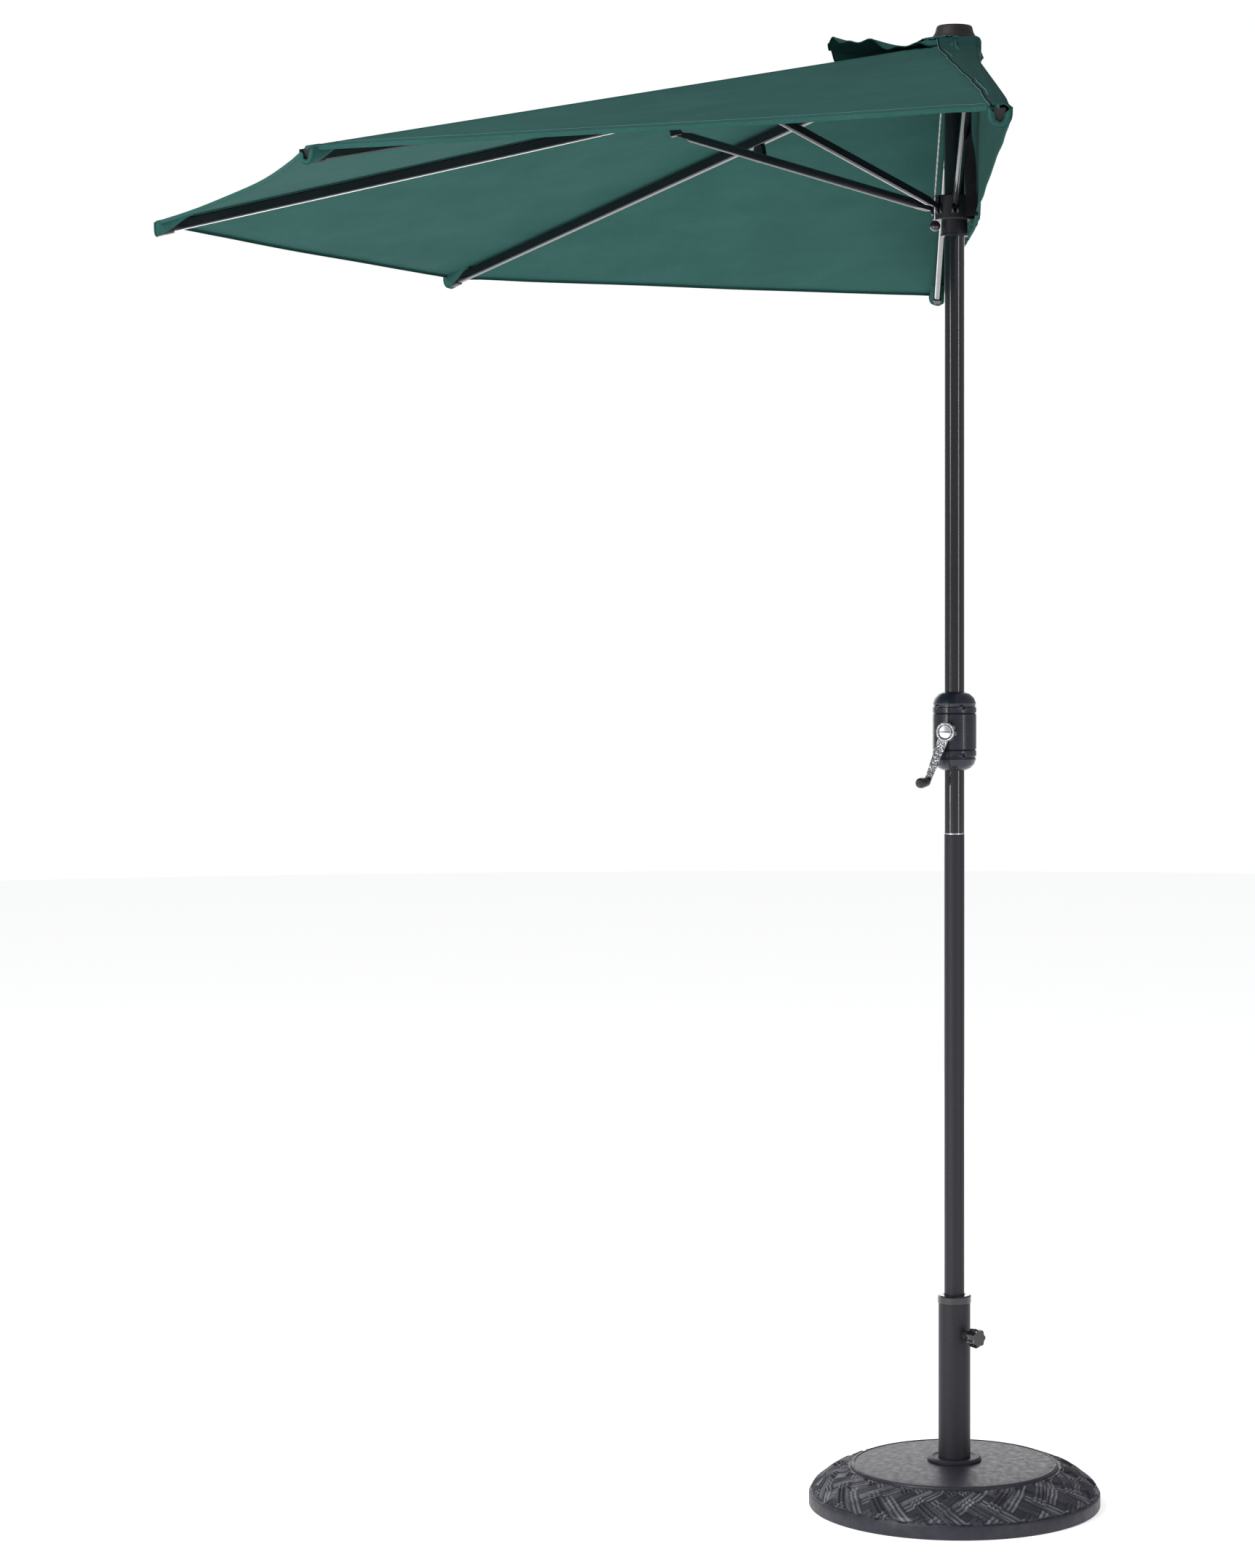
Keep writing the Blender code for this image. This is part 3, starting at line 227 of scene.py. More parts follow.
def make_cloth(name, dark, light, pitch=0.0008):
    """A plain weave of fine threads, with slubs and a soft mottle."""
    paint = Paint(name, light, 0.92, Specular_IOR_Level=0.05)
    mottle = paint.noise(9.0, 4.0)
    grain = paint.noise(420.0, 3.0)
    slub = paint.noise(1.0, 2.0, paint.uv((60.0, 900.0, 1.0)))
    shade = paint.math("ADD", paint.math("MULTIPLY", mottle, 0.35), paint.math("MULTIPLY", grain, 0.40))
    shade = paint.math("ADD", shade, paint.math("MULTIPLY", slub, 0.25))
    paint.color(paint.mixed(paint.spread(shade, 0.0, 1.0, 0.36, 0.64), dark, light))
    threads = 1.0 / pitch
    # A wave texture has one band in tau / 20 units at scale 1.
    weave_place = paint.uv((threads * math.pi / 10, threads * math.pi / 10, 1.0))
    weave = paint.math("MAXIMUM", paint.wave("X", weave_place), paint.wave("Y", weave_place))
    height = paint.math("ADD", paint.math("MULTIPLY", weave, 0.5), paint.math("MULTIPLY", slub, 0.5))
    paint.bump(height, 0.0003, 0.5)
    return paint.material


def make_stone():
    """Slate-coloured cast resin, with pewter rubbed on the high parts of the relief, and painted shade on the low
    walls of its recesses.
    """
    paint = Paint("cast_weight", (0.030, 0.030, 0.044), 0.46, Specular_IOR_Level=0.32)
    high = paint.attribute("relief")
    patch = paint.noise(26.0, 5.0)
    crest = paint.spread(high, 0.0, 1.0, 0.66, 1.0)
    rubbed = paint.math("MULTIPLY", crest, paint.spread(patch, 0.25, 1.0))
    mottle = paint.spread(paint.noise(60.0, 5.0), 0.0, 1.0)
    body = paint.mixed(mottle, (0.017, 0.017, 0.026), (0.030, 0.029, 0.042))
    # Painted shade: near-black colour (0.004) on the walls of the recesses, in the valleys between reeds and where
    # one band dips under the other.
    above, below = paint.spread(high, 0.0, 1.0, 0.04, 0.12), paint.spread(high, 1.0, 0.0, 0.30, 0.50)
    recess_wall_painted_shade = paint.math("MULTIPLY", above, below)
    body = paint.mixed(recess_wall_painted_shade, body, (0.004, 0.004, 0.006))
    paint.color(paint.mixed(rubbed, body, (0.200, 0.200, 0.225)))
    paint.rough(paint.spread(paint.noise(90.0, 4.0), 0.34, 0.52))
    paint.bump(paint.noise(380.0, 5.0), 0.0004, 0.5)
    return paint.material


def make_coated(name, color, roughness, peel=0.35, coat=0.0, gloss=0.25):
    """Powder-coated steel: a faint orange peel, and a roughness that wanders."""
    coating = {"Coat_Weight": coat, "Coat_Roughness": 0.06}
    paint = Paint(name, color, roughness, 0.0, Specular_IOR_Level=gloss, **coating)
    wander = paint.noise(14.0, 4.0, paint.stretched((1.0, 1.0, 0.25)))
    paint.rough(paint.spread(wander, roughness - 0.05, roughness + 0.06))
    lift = tuple(min(1.0, 1.5 * c + 0.002) for c in color)
    paint.color(paint.mixed(paint.spread(paint.noise(700.0, 2.0), 0.0, 1.0, 0.45, 0.75), color, lift))
    paint.bump(paint.noise(900.0, 2.0), 0.0002, peel)
    return paint.material


def make_plastic(name, color, roughness, grain=900.0, depth=0.35, coat=0.0):
    """Moulded plastic with a fine spark-eroded grain."""
    paint = Paint(name, color, roughness, Coat_Weight=coat, Coat_Roughness=0.08, Specular_IOR_Level=0.35)
    lift = tuple(min(1.0, 1.6 * c + 0.003) for c in color)
    paint.color(paint.mixed(paint.spread(paint.noise(35.0, 5.0), 0.0, 1.0), color, lift))
    paint.rough(paint.spread(paint.noise(120.0, 4.0), roughness - 0.05, roughness + 0.07))
    paint.bump(paint.noise(grain, 3.0), 0.00025, depth)
    return paint.material


def make_metal(name, color, roughness, brushed=0.0):
    paint = Paint(name, color, roughness, 1.0)
    smear = paint.noise(30.0, 4.0)
    paint.rough(paint.spread(smear, max(0.02, roughness - 0.04), roughness + 0.08))
    if brushed:
        paint.bump(paint.noise(1.0, 2.0, paint.stretched((1800.0, 1800.0, 60.0))), 0.0001, brushed)
    return paint.material


def make_hatched():
    """Chromed die casting, embossed all over with short strokes."""
    paint = Paint("hatched_chrome", (0.60, 0.60, 0.63), 0.24, 1.0)
    strokes = paint.wave("DIAGONAL", paint.stretched((22.0, 22.0, 34.0)), 1.0, 14.0)
    dents = paint.spread(paint.noise(420.0, 3.0), 0.0, 1.0, 0.42, 0.58)
    relief = paint.math("MULTIPLY", strokes, dents)
    shade = paint.spread(relief, 0.0, 1.0, 0.05, 0.5)
    paint.color(paint.mixed(shade, (0.10, 0.10, 0.11), (0.70, 0.70, 0.73)))
    paint.bump(relief, 0.0012, 1.0)
    return paint.material


def make_rope():
    paint = Paint("lift_cord_white", (0.80, 0.80, 0.78), 0.75, Sheen_Weight=0.3)
    twist = paint.wave("DIAGONAL", paint.stretched((60.0, 60.0, 60.0)), 1.0, 0.4)
    shade = paint.spread(twist, 0.0, 1.0, 0.2, 0.8)
    paint.color(paint.mixed(shade, (0.62, 0.62, 0.60), (0.86, 0.86, 0.84)))
    paint.bump(twist, 0.0004, 0.8)
    return paint.material


CLOTH = make_cloth("canopy_cloth", (0.019, 0.070, 0.062), (0.030, 0.098, 0.088))
# A darker copy of the cloth: painted shade on the flat strip where the wall cloth passes over the rib.
CLOTH_STRIP_PAINTED_SHADE = make_cloth("canopy_cloth_strip_painted_shade", (0.011, 0.044, 0.041), (0.017, 0.060, 0.056))
# A darker copy of the cloth for the rolled hems, rims and pocket edges: painted shade along the edges.
CLOTH_HEM_PAINTED_SHADE = make_cloth("canopy_hem_painted_shade", (0.010, 0.050, 0.043), (0.022, 0.085, 0.074))
STITCHING = make_cloth("canopy_stitching", (0.080, 0.260, 0.230), (0.120, 0.340, 0.300))
STRAP = make_cloth("tie_strap_cloth", (0.006, 0.006, 0.007), (0.014, 0.014, 0.016), 0.0011)
PIPING = make_cloth("flap_piping", (0.42, 0.56, 0.52), (0.60, 0.72, 0.68))
STONE = make_stone()
SEAM_BLACK = make_plastic("seam_black", (0.002, 0.002, 0.003), 0.6)
MATT_STEEL = make_coated("black_steel", (0.016, 0.0155, 0.021), 0.42)
GLOSS_STEEL = make_coated("gloss_steel", (0.006, 0.006, 0.009), 0.19, 0.03, 0.45, 0.5)
BLACK_PLASTIC = make_plastic("black_plastic", (0.010, 0.010, 0.013), 0.38)
GLOSS_PLASTIC = make_plastic("gloss_plastic", (0.007, 0.007, 0.009), 0.18, 300.0, 0.08, 0.6)
HOUSING_PLASTIC = make_plastic("housing_plastic", (0.008, 0.009, 0.017), 0.30, 700.0, 0.22, 0.25)
FINIAL_PLASTIC = make_plastic("finial_plastic", (0.010, 0.0065, 0.0085), 0.50)
CHROME = make_metal("chrome", (0.62, 0.62, 0.65), 0.16)
ZINC = make_metal("zinc", (0.55, 0.55, 0.58), 0.30, 0.4)
ROPE = make_rope()
HATCHED = make_hatched()

FINISH_OF_SLOT = {
    "cast_weight": STONE,
    "black_steel": MATT_STEEL,
    "gloss_steel": GLOSS_STEEL,
    "black_plastic": BLACK_PLASTIC,
    "gloss_plastic": GLOSS_PLASTIC,
    "housing_plastic": HOUSING_PLASTIC,
    "finial_plastic": FINIAL_PLASTIC,
    "chrome": CHROME,
    "zinc": ZINC,
    "cord": ROPE,
    "canopy_cloth": CLOTH,
}


# ---- Mesh tools ----------------------------------------------------------------------------------
def as_piece(name, mesh, *finishes):
    made = bpy.data.objects.new(name, mesh)
    bpy.context.scene.collection.objects.link(made)
    for finish in finishes:
        mesh.materials.append(finish)
    return made


def shaded(mesh, angle=35):
    mesh.shade_smooth()
    mesh.set_sharp_from_angle(angle=math.radians(angle))


def add_grid(bm, rows, slot=0, uvs=None, closed=False):
    """Adds a grid of faces through rows of points. uvs are rows of (u, v) in metres."""
    layer = bm.loops.layers.uv.verify()
    verts = [[bm.verts.new(p) for p in row] for row in rows]
    width = len(rows[0])
    for j in range(len(rows) - 1):
        for i in range(width if closed else width - 1):
            k = (i + 1) % width
            face = bm.faces.new((verts[j][i], verts[j][k], verts[j + 1][k], verts[j + 1][i]))
            face.material_index = slot
            face.smooth = True
            if uvs is not None:
                corners = (uvs[j][i], uvs[j][k], uvs[j + 1][k], uvs[j + 1][i])
                for loop, uv in zip(face.loops, corners):
                    loop[layer].uv = uv
    return verts


def loft(name, rings, finish, caps=True, angle=35):
    """A closed skin through rings of points."""
    bm = bmesh.new()
    verts = add_grid(bm, rings, closed=True)
    if caps:
        bm.faces.new(list(reversed(verts[0])))
        bm.faces.new(verts[-1])
    bmesh.ops.recalc_face_normals(bm, faces=bm.faces)
    mesh = bpy.data.meshes.new(name)
    bm.to_mesh(mesh)
    bm.free()
    shaded(mesh, angle)
    return as_piece(name, mesh, finish)


def tube_rings(points, radius, sides=10, flat=1.0):
    """Rings of a round or flattened tube along points, with a steady twist-free frame."""
    rings = []
    for index, at in enumerate(points):
        before = points[max(index - 1, 0)]
        after = points[min(index + 1, len(points) - 1)]
        forward = (after - before).normalized()
        side = forward.cross(Vector((0, 0, 1)))
        if side.length < 1e-4:
            side = forward.cross(Vector((0, 1, 0)))
        side.normalize()
        up = side.cross(forward)
        ring = []
        for i in range(sides):
            angle = math.tau * i / sides
            ring.append(at + radius * (math.cos(angle) * side + flat * math.sin(angle) * up))
        rings.append(ring)
    return rings


def frozen(piece):
    """Applies the piece's modifiers."""
    bpy.context.view_layer.update()
    evaluated = piece.evaluated_get(bpy.context.evaluated_depsgraph_get())
    mesh = bpy.data.meshes.new_from_object(evaluated)
    piece.modifiers.clear()
    piece.data = mesh
    return piece


def thickened(piece, thickness, offset=1.0):
    solid = piece.modifiers.new("thickness", "SOLIDIFY")
    solid.thickness = thickness
    solid.offset = offset
    solid.use_even_offset = True
    return frozen(piece)


@contextlib.contextmanager
def opened(mesh):
    """The mesh as a bmesh to add to, written back at the end."""
    bm = bmesh.new()
    bm.from_mesh(mesh)
    yield bm
    bm.to_mesh(mesh)
    bm.free()


def sheet_mesh(name, rows, uvs, axis=2, closed=False):
    """One layer of cloth through rows of points, with its faces turned to the positive side of an axis."""
    bm = bmesh.new()
    add_grid(bm, rows, 0, uvs, closed)
    bm.normal_update()
    if sum(face.normal[axis] for face in bm.faces) < 0:
        bmesh.ops.reverse_faces(bm, faces=bm.faces)
    mesh = bpy.data.meshes.new(name)
    bm.to_mesh(mesh)
    bm.free()
    return mesh


def mesh_from(name, bm):
    bmesh.ops.recalc_face_normals(bm, faces=bm.faces)
    mesh = bpy.data.meshes.new(name)
    bm.to_mesh(mesh)
    bm.free()
    return mesh


# ---- Camera, floor and light ---------------------------------------------------------------------
def make_camera():
    data = bpy.data.cameras.new("camera")
    data.sensor_width = 36.0
    data.lens = 81.4
    data.shift_x = -0.0968
    data.shift_y = -0.1070
    camera = bpy.data.objects.new("camera", data)
    camera.location = (5.642, -0.1985, 1.4106)
    camera.rotation_euler = (math.radians(90), 0.0, math.radians(90.81))
    bpy.context.scene.collection.objects.link(camera)
    bpy.context.scene.camera = camera


def area_light(name, at, towards, size, power, size_y=None):
    data = bpy.data.lights.new(name, "AREA")
    data.energy = power
    data.size = size
    if size_y is not None:
        data.shape = "RECTANGLE"
        data.size_y = size_y
    light = bpy.data.objects.new(name, data)
    light.location = at
    light.rotation_euler = (Vector(towards) - Vector(at)).to_track_quat("-Z", "Y").to_euler()
    bpy.context.scene.collection.objects.link(light)


def make_world():
    """A white backdrop that gives off less light than it shows."""
    world = bpy.data.worlds.new("studio")
    world.use_nodes = True
    nodes, links = world.node_tree.nodes, world.node_tree.links
    shown, given = nodes["Background"], nodes.new("ShaderNodeBackground")
    shown.inputs["Color"].default_value = (1.0, 1.0, 1.0, 1.0)
    given.inputs["Color"].default_value = (0.97, 0.98, 1.0, 1.0)
    given.inputs["Strength"].default_value = 0.42
    mix, path = nodes.new("ShaderNodeMixShader"), nodes.new("ShaderNodeLightPath")
    links.new(path.outputs["Is Camera Ray"], mix.inputs["Fac"])
    links.new(given.outputs["Background"], mix.inputs[1])
    links.new(shown.outputs["Background"], mix.inputs[2])
    links.new(mix.outputs["Shader"], nodes["World Output"].inputs["Surface"])
    bpy.context.scene.world = world


def make_studio():
    floor = Paint("studio_floor", (0.92, 0.92, 0.92), 0.9)
    floor.color(floor.mixed(floor.noise(3.0, 2.0), (0.91, 0.91, 0.91), (0.93, 0.93, 0.93)))
    floor.surface.inputs["Emission Color"].default_value = (1.0, 1.0, 1.0, 1.0)
    floor.surface.inputs["Emission Strength"].default_value = 0.56
    bm = bmesh.new()
    bmesh.ops.create_circle(bm, cap_ends=True, segments=96, radius=14.0)
    ground = as_piece("studio_ground", mesh_from("studio_ground", bm), floor.material)
    make_world()
    bpy.context.scene.view_settings.view_transform = "Standard"
    area_light("key", (2.6, -3.4, 5.2), (0.0, -0.3, 1.4), 2.4, 190.0)
    area_light("strip_left", (2.3, -2.9, 1.5), (0.0, 0.0, 1.3), 0.26, 34.0, 3.4)
    area_light("strip_right", (2.3, 2.6, 1.5), (0.0, 0.0, 1.3), 0.22, 26.0, 3.4)
    area_light("from_below", (2.2, -1.6, 0.15), (0.0, -0.5, 2.2), 1.6, 18.0)
    area_light("behind", (-4.5, -1.2, 2.2), (0.0, -0.3, 0.9), 5.0, 85.0, 3.4)


# ---- Canopy: five sectors of the slope -----------------------------------------------------------
# Each gore is named by the rib that it starts at. Its hem is hollow by a share of OUT_R.
GORE_HOLLOW = {1: 0.022, 2: 0.030, 3: 0.006, 4: 0.004}
GORE_SAG = {1: 0.006, 2: 0.012, 3: 0.008, 4: 0.006}


def cloth_z(radius):
    """The height of the cloth's underside over a rib, with the rise to the cap."""
    plain = HUB_Z - (radius - PIVOT_R) * math.tan(RIB_SLOPE) + CLOTH_RISE
    rise = smooth(CROWN_OUT_R - radius, 0.0, CROWN_OUT_R - CROWN_IN_R)
    return blend(plain, max(plain, CROWN_Z), rise)


def gore_point(gore, u, s):
    """A point of the gore from rib number gore to the next: u from rib to rib, s from crown to hem."""
    bow = 4 * u * (1 - u)
    edge = OUT_R * (1 - GORE_HOLLOW[gore] * bow)
    radius = CROWN_IN_R + (edge - CROWN_IN_R) * s
    a = radial(AZIMUTH[gore], radius, cloth_z(radius))
    b = radial(AZIMUTH[gore + 1], radius, cloth_z(radius))
    at = a.lerp(b, u)
    at.z -= GORE_SAG[gore] * bow * smooth(s, 0.0, 0.7) * (1 - 0.5 * s)
    # Pulls that fan out from the crown and from the corners of the gore
    fan = (1 + math.sin(u * 47.0 + 2.0 * gore)) * 0.0014 * smooth(0.20 - s, 0.0, 0.17) * smooth(s, 0.0, 0.03)
    near_rib = smooth(abs(u - 0.5), 0.30, 0.5)
    off_rib = smooth(0.5 - abs(u - 0.5), 0.0, 0.03)
    pull = math.sin(u * 150.0) * 0.0009 * smooth(s, 0.80, 1.0) * near_rib * off_rib
    ripple = noise.noise(Vector((3.1 * at.x, 3.1 * at.y, gore))) * 0.0022 * bow * smooth(s, 0.05, 0.3)
    at.z += fan + pull + ripple
    return at


def add_tip_pocket(bm, i):
    """The doubled corner that the rib's end cap sits in: a trough under the cloth, drawn in over the end."""
    t = tangent(i)
    depth_end = 0.0245 if i == 1 else 0.0205

    def section(radius, depth, half, pull=1.0, sink=0.0):
        top = radial(AZIMUTH[i], radius, cloth_z(min(radius, OUT_R)) - 0.0006)
        middle = top - Vector((0, 0, 0.5 * depth + sink))
        row = []
        for k in range(17):
            angle = math.pi * k / 16
            pleat = 1 + 0.05 * math.sin(5 * angle + i) * (1 - pull + 0.4)
            at = top + half * math.cos(angle) * t + Vector((0, 0, -depth * pleat * math.sin(angle) ** 0.6))
            row.append(middle + (at - middle) * pull)
        return row

    rows = []
    for j in range(9):
        depth = depth_end * smooth(j / 8, 0.0, 0.85) + 0.0012
        rows.append(section(OUT_R - 0.060 * (1 - j / 8), depth, 0.0135 + 0.002 * j / 8))
    rim = rows[-1]
    rows += [
        section(OUT_R + 0.0022, depth_end + 0.0012, 0.0155, 0.90),
        section(OUT_R + 0.0028, depth_end + 0.0012, 0.0155, 0.66, 0.0006),
        section(OUT_R + 0.0012, depth_end + 0.0012, 0.0155, 0.42, 0.0012),
    ]
    uvs = [[(0.03 * k / 16, 0.008 * j) for k in range(17)] for j in range(len(rows))]
    add_grid(bm, rows, 0, uvs)
    keel = [row[8] for row in rows[3:10]]
    # The rims and keel take slot 1, the darker hem cloth: painted shade.
    for line, radius in ((rim, 0.0010), (rows[-1], 0.0009), (keel, 0.0007)):
        add_grid(bm, tube_rings(line, radius, 6), 1, closed=True)


def sector_columns(i):
    """(gore, u, seam) across the sector of rib i, where seam says how far the rib's seam stands up there.

    In the columns beside the rib, u is in metres from its line, and below zero in the gore before it."""
    seam = ((0.0, 1.0), (0.0035, 1.0), (0.0050, 0.15), (0.0090, 0.0))
    shares = [0.035, 0.06, 0.10, 0.15, 0.20, 0.26, 0.32, 0.38, 0.44, 0.5]
    columns = []
    if i > 1:
        columns += [(i - 1, 1 - u, 0.0) for u in reversed(shares)]
        columns += [(i - 1, -d, lift) for d, lift in reversed(seam)]
    if i < 5:
        columns += [(i, d, lift) for d, lift in (seam if i == 1 else seam[1:])]
        columns += [(i, u, 0.0) for u in shares]
    return columns


def make_sector(i):
    """The cloth about one rib, from the middle of one gore to the middle of the next."""
    rows, uvs = [], []
    steps = [0.0, 0.012, 0.028, 0.05, 0.08, 0.12, 0.17] + [0.17 + 0.79 * k / 22 for k in range(1, 23)]
    steps += [0.9836, 0.9850, 0.9925, 0.9985, 1.0]
    gore_l = OUT_R - CROWN_IN_R
    t = tangent(i)
    for s in steps:
        row, uv = [], []
        for gore, u, lift in sector_columns(i):
            if (gore == i - 1 and u <= 0) or (gore == i and 0 <= u < 0.02):
                half_angle = abs(AZIMUTH[gore] - AZIMUTH[gore + 1]) / 2
                span = 2 * (CROWN_IN_R + gore_l * s) * math.sin(half_angle)
                share = min(abs(u) / span, 0.03)
                at = gore_point(gore, 1 - share if gore == i - 1 else share, s)
            else:
                at = gore_point(gore, u, s)
            doubled = 0.0007 if s > 0.984 else 0.0
            at.z += 0.0011 * lift + doubled
            row.append(at)
            uv.append((at.dot(t), s * gore_l))
        rows.append(row)
        uvs.append(uv)
    down = Vector((0, 0, -HEM_TURN))
    rows.append([at + down - 0.0006 * Vector((at.x, at.y, 0)).normalized() for at in rows[-1]])
    uvs.append([(u, v + HEM_TURN) for u, v in uvs[-1]])
    name = f"canopy_sector_{i}"
    mesh = sheet_mesh(name, rows, uvs)
    piece = thickened(as_piece(name, mesh, CLOTH, CLOTH_HEM_PAINTED_SHADE, STITCHING), CLOTH_T)
    # Slot 1, edge, is the darker hem cloth: painted shade on the hem lip and the pocket rims.
    edge, stitching = 1, 2
    lip = [at + Vector((0, 0, 0.0006)) for at in rows[-1]]
    stitches = [at + Vector((0, 0, 0.0012)) for at in rows[-7]]
    with opened(piece.data) as bm:
        add_grid(bm, tube_rings(lip, HEM_R, 6), edge, closed=True)
        add_grid(bm, tube_rings(stitches, STITCH_R, 5), stitching, closed=True)
        add_tip_pocket(bm, i)
    shaded(piece.data, 60)
    area = sum(face.area for face in piece.data.polygons if face.material_index == 0) / 2
    width = max(p.dot(t) for p in rows[-1]) - min(p.dot(t) for p in rows[-1])
    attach(piece, f"rib_{i}")
    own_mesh(piece)
    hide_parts(f"canopy_panel_{i}")
    return piece, width, area


# ---- Wall panel ----------------------------------------------------------------------------------
def seam_y(x):
    """Where the wall cloth is sewn to the slope: in front of the rib at the hub, and on it at the tip."""
    wander = 0.0009 * math.sin(26 * x) + 0.0006 * math.sin(61 * x + 1.0)
    return -0.0270 + 0.0280 * smooth(x, 0.0, OUT_R) ** 0.8 + wander * smooth(x, 0.02, 0.1)


def wall_y(x, z):
    """How far the wall cloth stands behind the mast: it clears the hub, the runner and the rib."""
    plain = 0.0225 + 0.0045 * smooth(z, HEM_Z, HEM_Z + 0.05) * smooth(x, 0.0, OUT_R)
    near_hub = max(0.0, 1 - max(0.0, x - 0.02) / 0.30) ** 1.4
    hub = (HUB_CLOTH_Y - plain) * smooth(z, FLANGE_HIGH_Z, HUB_Z) * near_hub
    runner = (0.0372 - plain) * max(0.0, 1 - x / 0.40) * smooth(z, HEM_Z - 0.004, FLANGE_LOW_Z)
    return plain + max(hub, runner)


def wall_section(x, side):
    """Points of the wall cloth's cross-section at x, from the seam over the rib and down to the hem."""
    radius = max(x, CROWN_IN_R)
    top = cloth_z(radius) + CLOTH_T + 0.0008
    points = []
    start = seam_y(x)
    bend = 0.0075
    outer = wall_y(x, top - bend) if x > 0.05 else HUB_CLOTH_Y
    flat_end = max(outer - bend, start + 0.002)
    for k in range(6):
        y = start + (flat_end - start) * k / 5
        gore_drop = max(0.0, -y) * math.tan(RIB_SLOPE) * 0.30
        points.append((y, top - gore_drop + 0.0006 * math.sin(k * 1.7 + 9 * x)))
    for k in range(1, 6):
        angle = math.pi / 2 * k / 6
        points.append((flat_end + (outer - flat_end) * math.sin(angle), top - bend * (1 - math.cos(angle))))
    count = 16
    for k in range(count + 1):
        z = blend(top - bend, HEM_Z, k / count)
        y = wall_y(x, z) if k > 1 or x > 0.05 else HUB_CLOTH_Y
        hang = noise.noise(Vector((7.0 * x, 2.0, 5.0 * z + side))) * 0.0022 * smooth(k / count, 0.05, 0.4)
        near_mast = smooth(x, 0.015, 0.05) * smooth(0.20 - x, 0.0, 0.1)
        gather = (1 + math.sin(105 * x + 16 * (HUB_Z - z))) * 0.0016 * near_mast
        points.append((y + hang * smooth(x, 0.10, 0.25) + gather, z))
    return points


def make_wall_half(i):
    """Half of the wall panel: right of the mast on rib 1, left of it on rib 5. Columns crowd at the strap."""
    side = 1.0 if i == 1 else -1.0
    xs = [0.0, 0.006, 0.012, 0.020, 0.030, 0.040, 0.052, 0.066, 0.082, 0.10, 0.12, 0.15, 0.19, 0.24]
    past_strap = 0.3060
    xs += [0.2940, 0.2955, 0.3045, past_strap]
    xs += [past_strap + (OUT_R - past_strap) * k / 20 for k in range(1, 20)] + [OUT_R - 0.006, OUT_R]
    rows, uvs = [], []
    for x in xs:
        lift = 0.0008 if abs(x - STRAP_X) < 0.005 else 0.0
        section = wall_section(x, side)
        rows.append([Vector((side * x, y + lift, z)) for y, z in section])
        uvs.append([(x, 2.4 - z + y) for y, z in section])
    name = "wall_panel_right" if i == 1 else "wall_panel_left"
    mesh = sheet_mesh(name, rows, uvs, axis=1)
    finishes = (CLOTH, CLOTH_HEM_PAINTED_SHADE, STRAP, CLOTH_STRIP_PAINTED_SHADE, STITCHING)
    edge, dark, doubled, stitching = 1, 2, 3, 4
    piece = thickened(as_piece(name, mesh, *finishes), CLOTH_T)
    area = sum(face.area for face in piece.data.polygons) / 2
    # Painted shade: the flat top strip of the wall cloth, faces turned up or down, takes the darker copy of the
    # cloth (slot doubled).
    for face in piece.data.polygons:
        if abs(face.normal.z) > 0.5 and face.center.z > HEM_Z + 0.012:
            face.material_index = doubled
    hem = [row[-1] + Vector((0, 0.0006, 0.0)) for row in rows]
    seam = [row[0] + Vector((0, -0.0008, -0.0002)) for row in rows]
    with opened(piece.data) as bm:
        # The hem roll takes slot 1, the darker hem cloth: painted shade.
        add_grid(bm, tube_rings(hem, HEM_R, 6), edge, closed=True)
        # Painted shade: the seam is drawn as a black cord in the strap's cloth (slot dark), standing for the dark
        # gap where the wall cloth meets the slope.
        add_grid(bm, tube_rings(seam, 0.0016, 6), dark, closed=True)
        for offset, rise in ((-0.0030, 0.0), (0.0042, 0.0009)):
            stitches = [row[0] + Vector((0, offset, rise)) for row in rows]
            add_grid(bm, tube_rings(stitches, STITCH_R, 5), stitching, closed=True)
    shaded(piece.data, 60)
    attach(piece, f"rib_{i}")
    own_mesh(piece)
    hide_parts(f"canopy_panel_{i}")
    return piece, area


# ---- Vent flap, strap and cord -------------------------------------------------------------------
def flap_edge(angle):
    """The flap's free edge by direction: small over the near gore, and wide at the front."""
    share = smooth(-angle, 0.0, math.radians(90))
    back = smooth(-angle, math.radians(120), math.radians(182))
    return 0.062 + 0.142 * share - 0.085 * back


def flap_point(angle, s):
    edge = flap_edge(angle)
    radius = BRIM_R - 0.0035 + (edge - BRIM_R) * s
    # The flap spans the same flat gores as the cloth under it
    for gore in (1, 2, 3, 4):
        if AZIMUTH[gore + 1] - 0.03 <= angle <= AZIMUTH[gore] + 0.03:
            middle = (AZIMUTH[gore] + AZIMUTH[gore + 1]) / 2
            half = abs(AZIMUTH[gore] - AZIMUTH[gore + 1]) / 2
            level = math.cos(half) / math.cos(angle - middle)
            break
    across = smooth(abs(angle - middle) / half, 1.0, 0.0)
    under = cloth_z(radius / max(level, 0.5)) + CLOTH_T + 0.0009
    front = max(0.0, 1 - abs(angle + math.radians(88)) / math.radians(46)) ** 1.25
    loose = smooth(-angle, math.radians(14), math.radians(50))
    lift = 0.0010 + loose * (0.0060 + 0.0090 * across + 0.0400 * front)
    wave = 0.0040 * math.sin(angle * 17.0) + 0.0030 * math.sin(angle * 31.0 + 1.0)
    return radial(angle, radius, under + s**1.6 * (lift + loose * wave * smooth(s, 0.3, 1.0)))


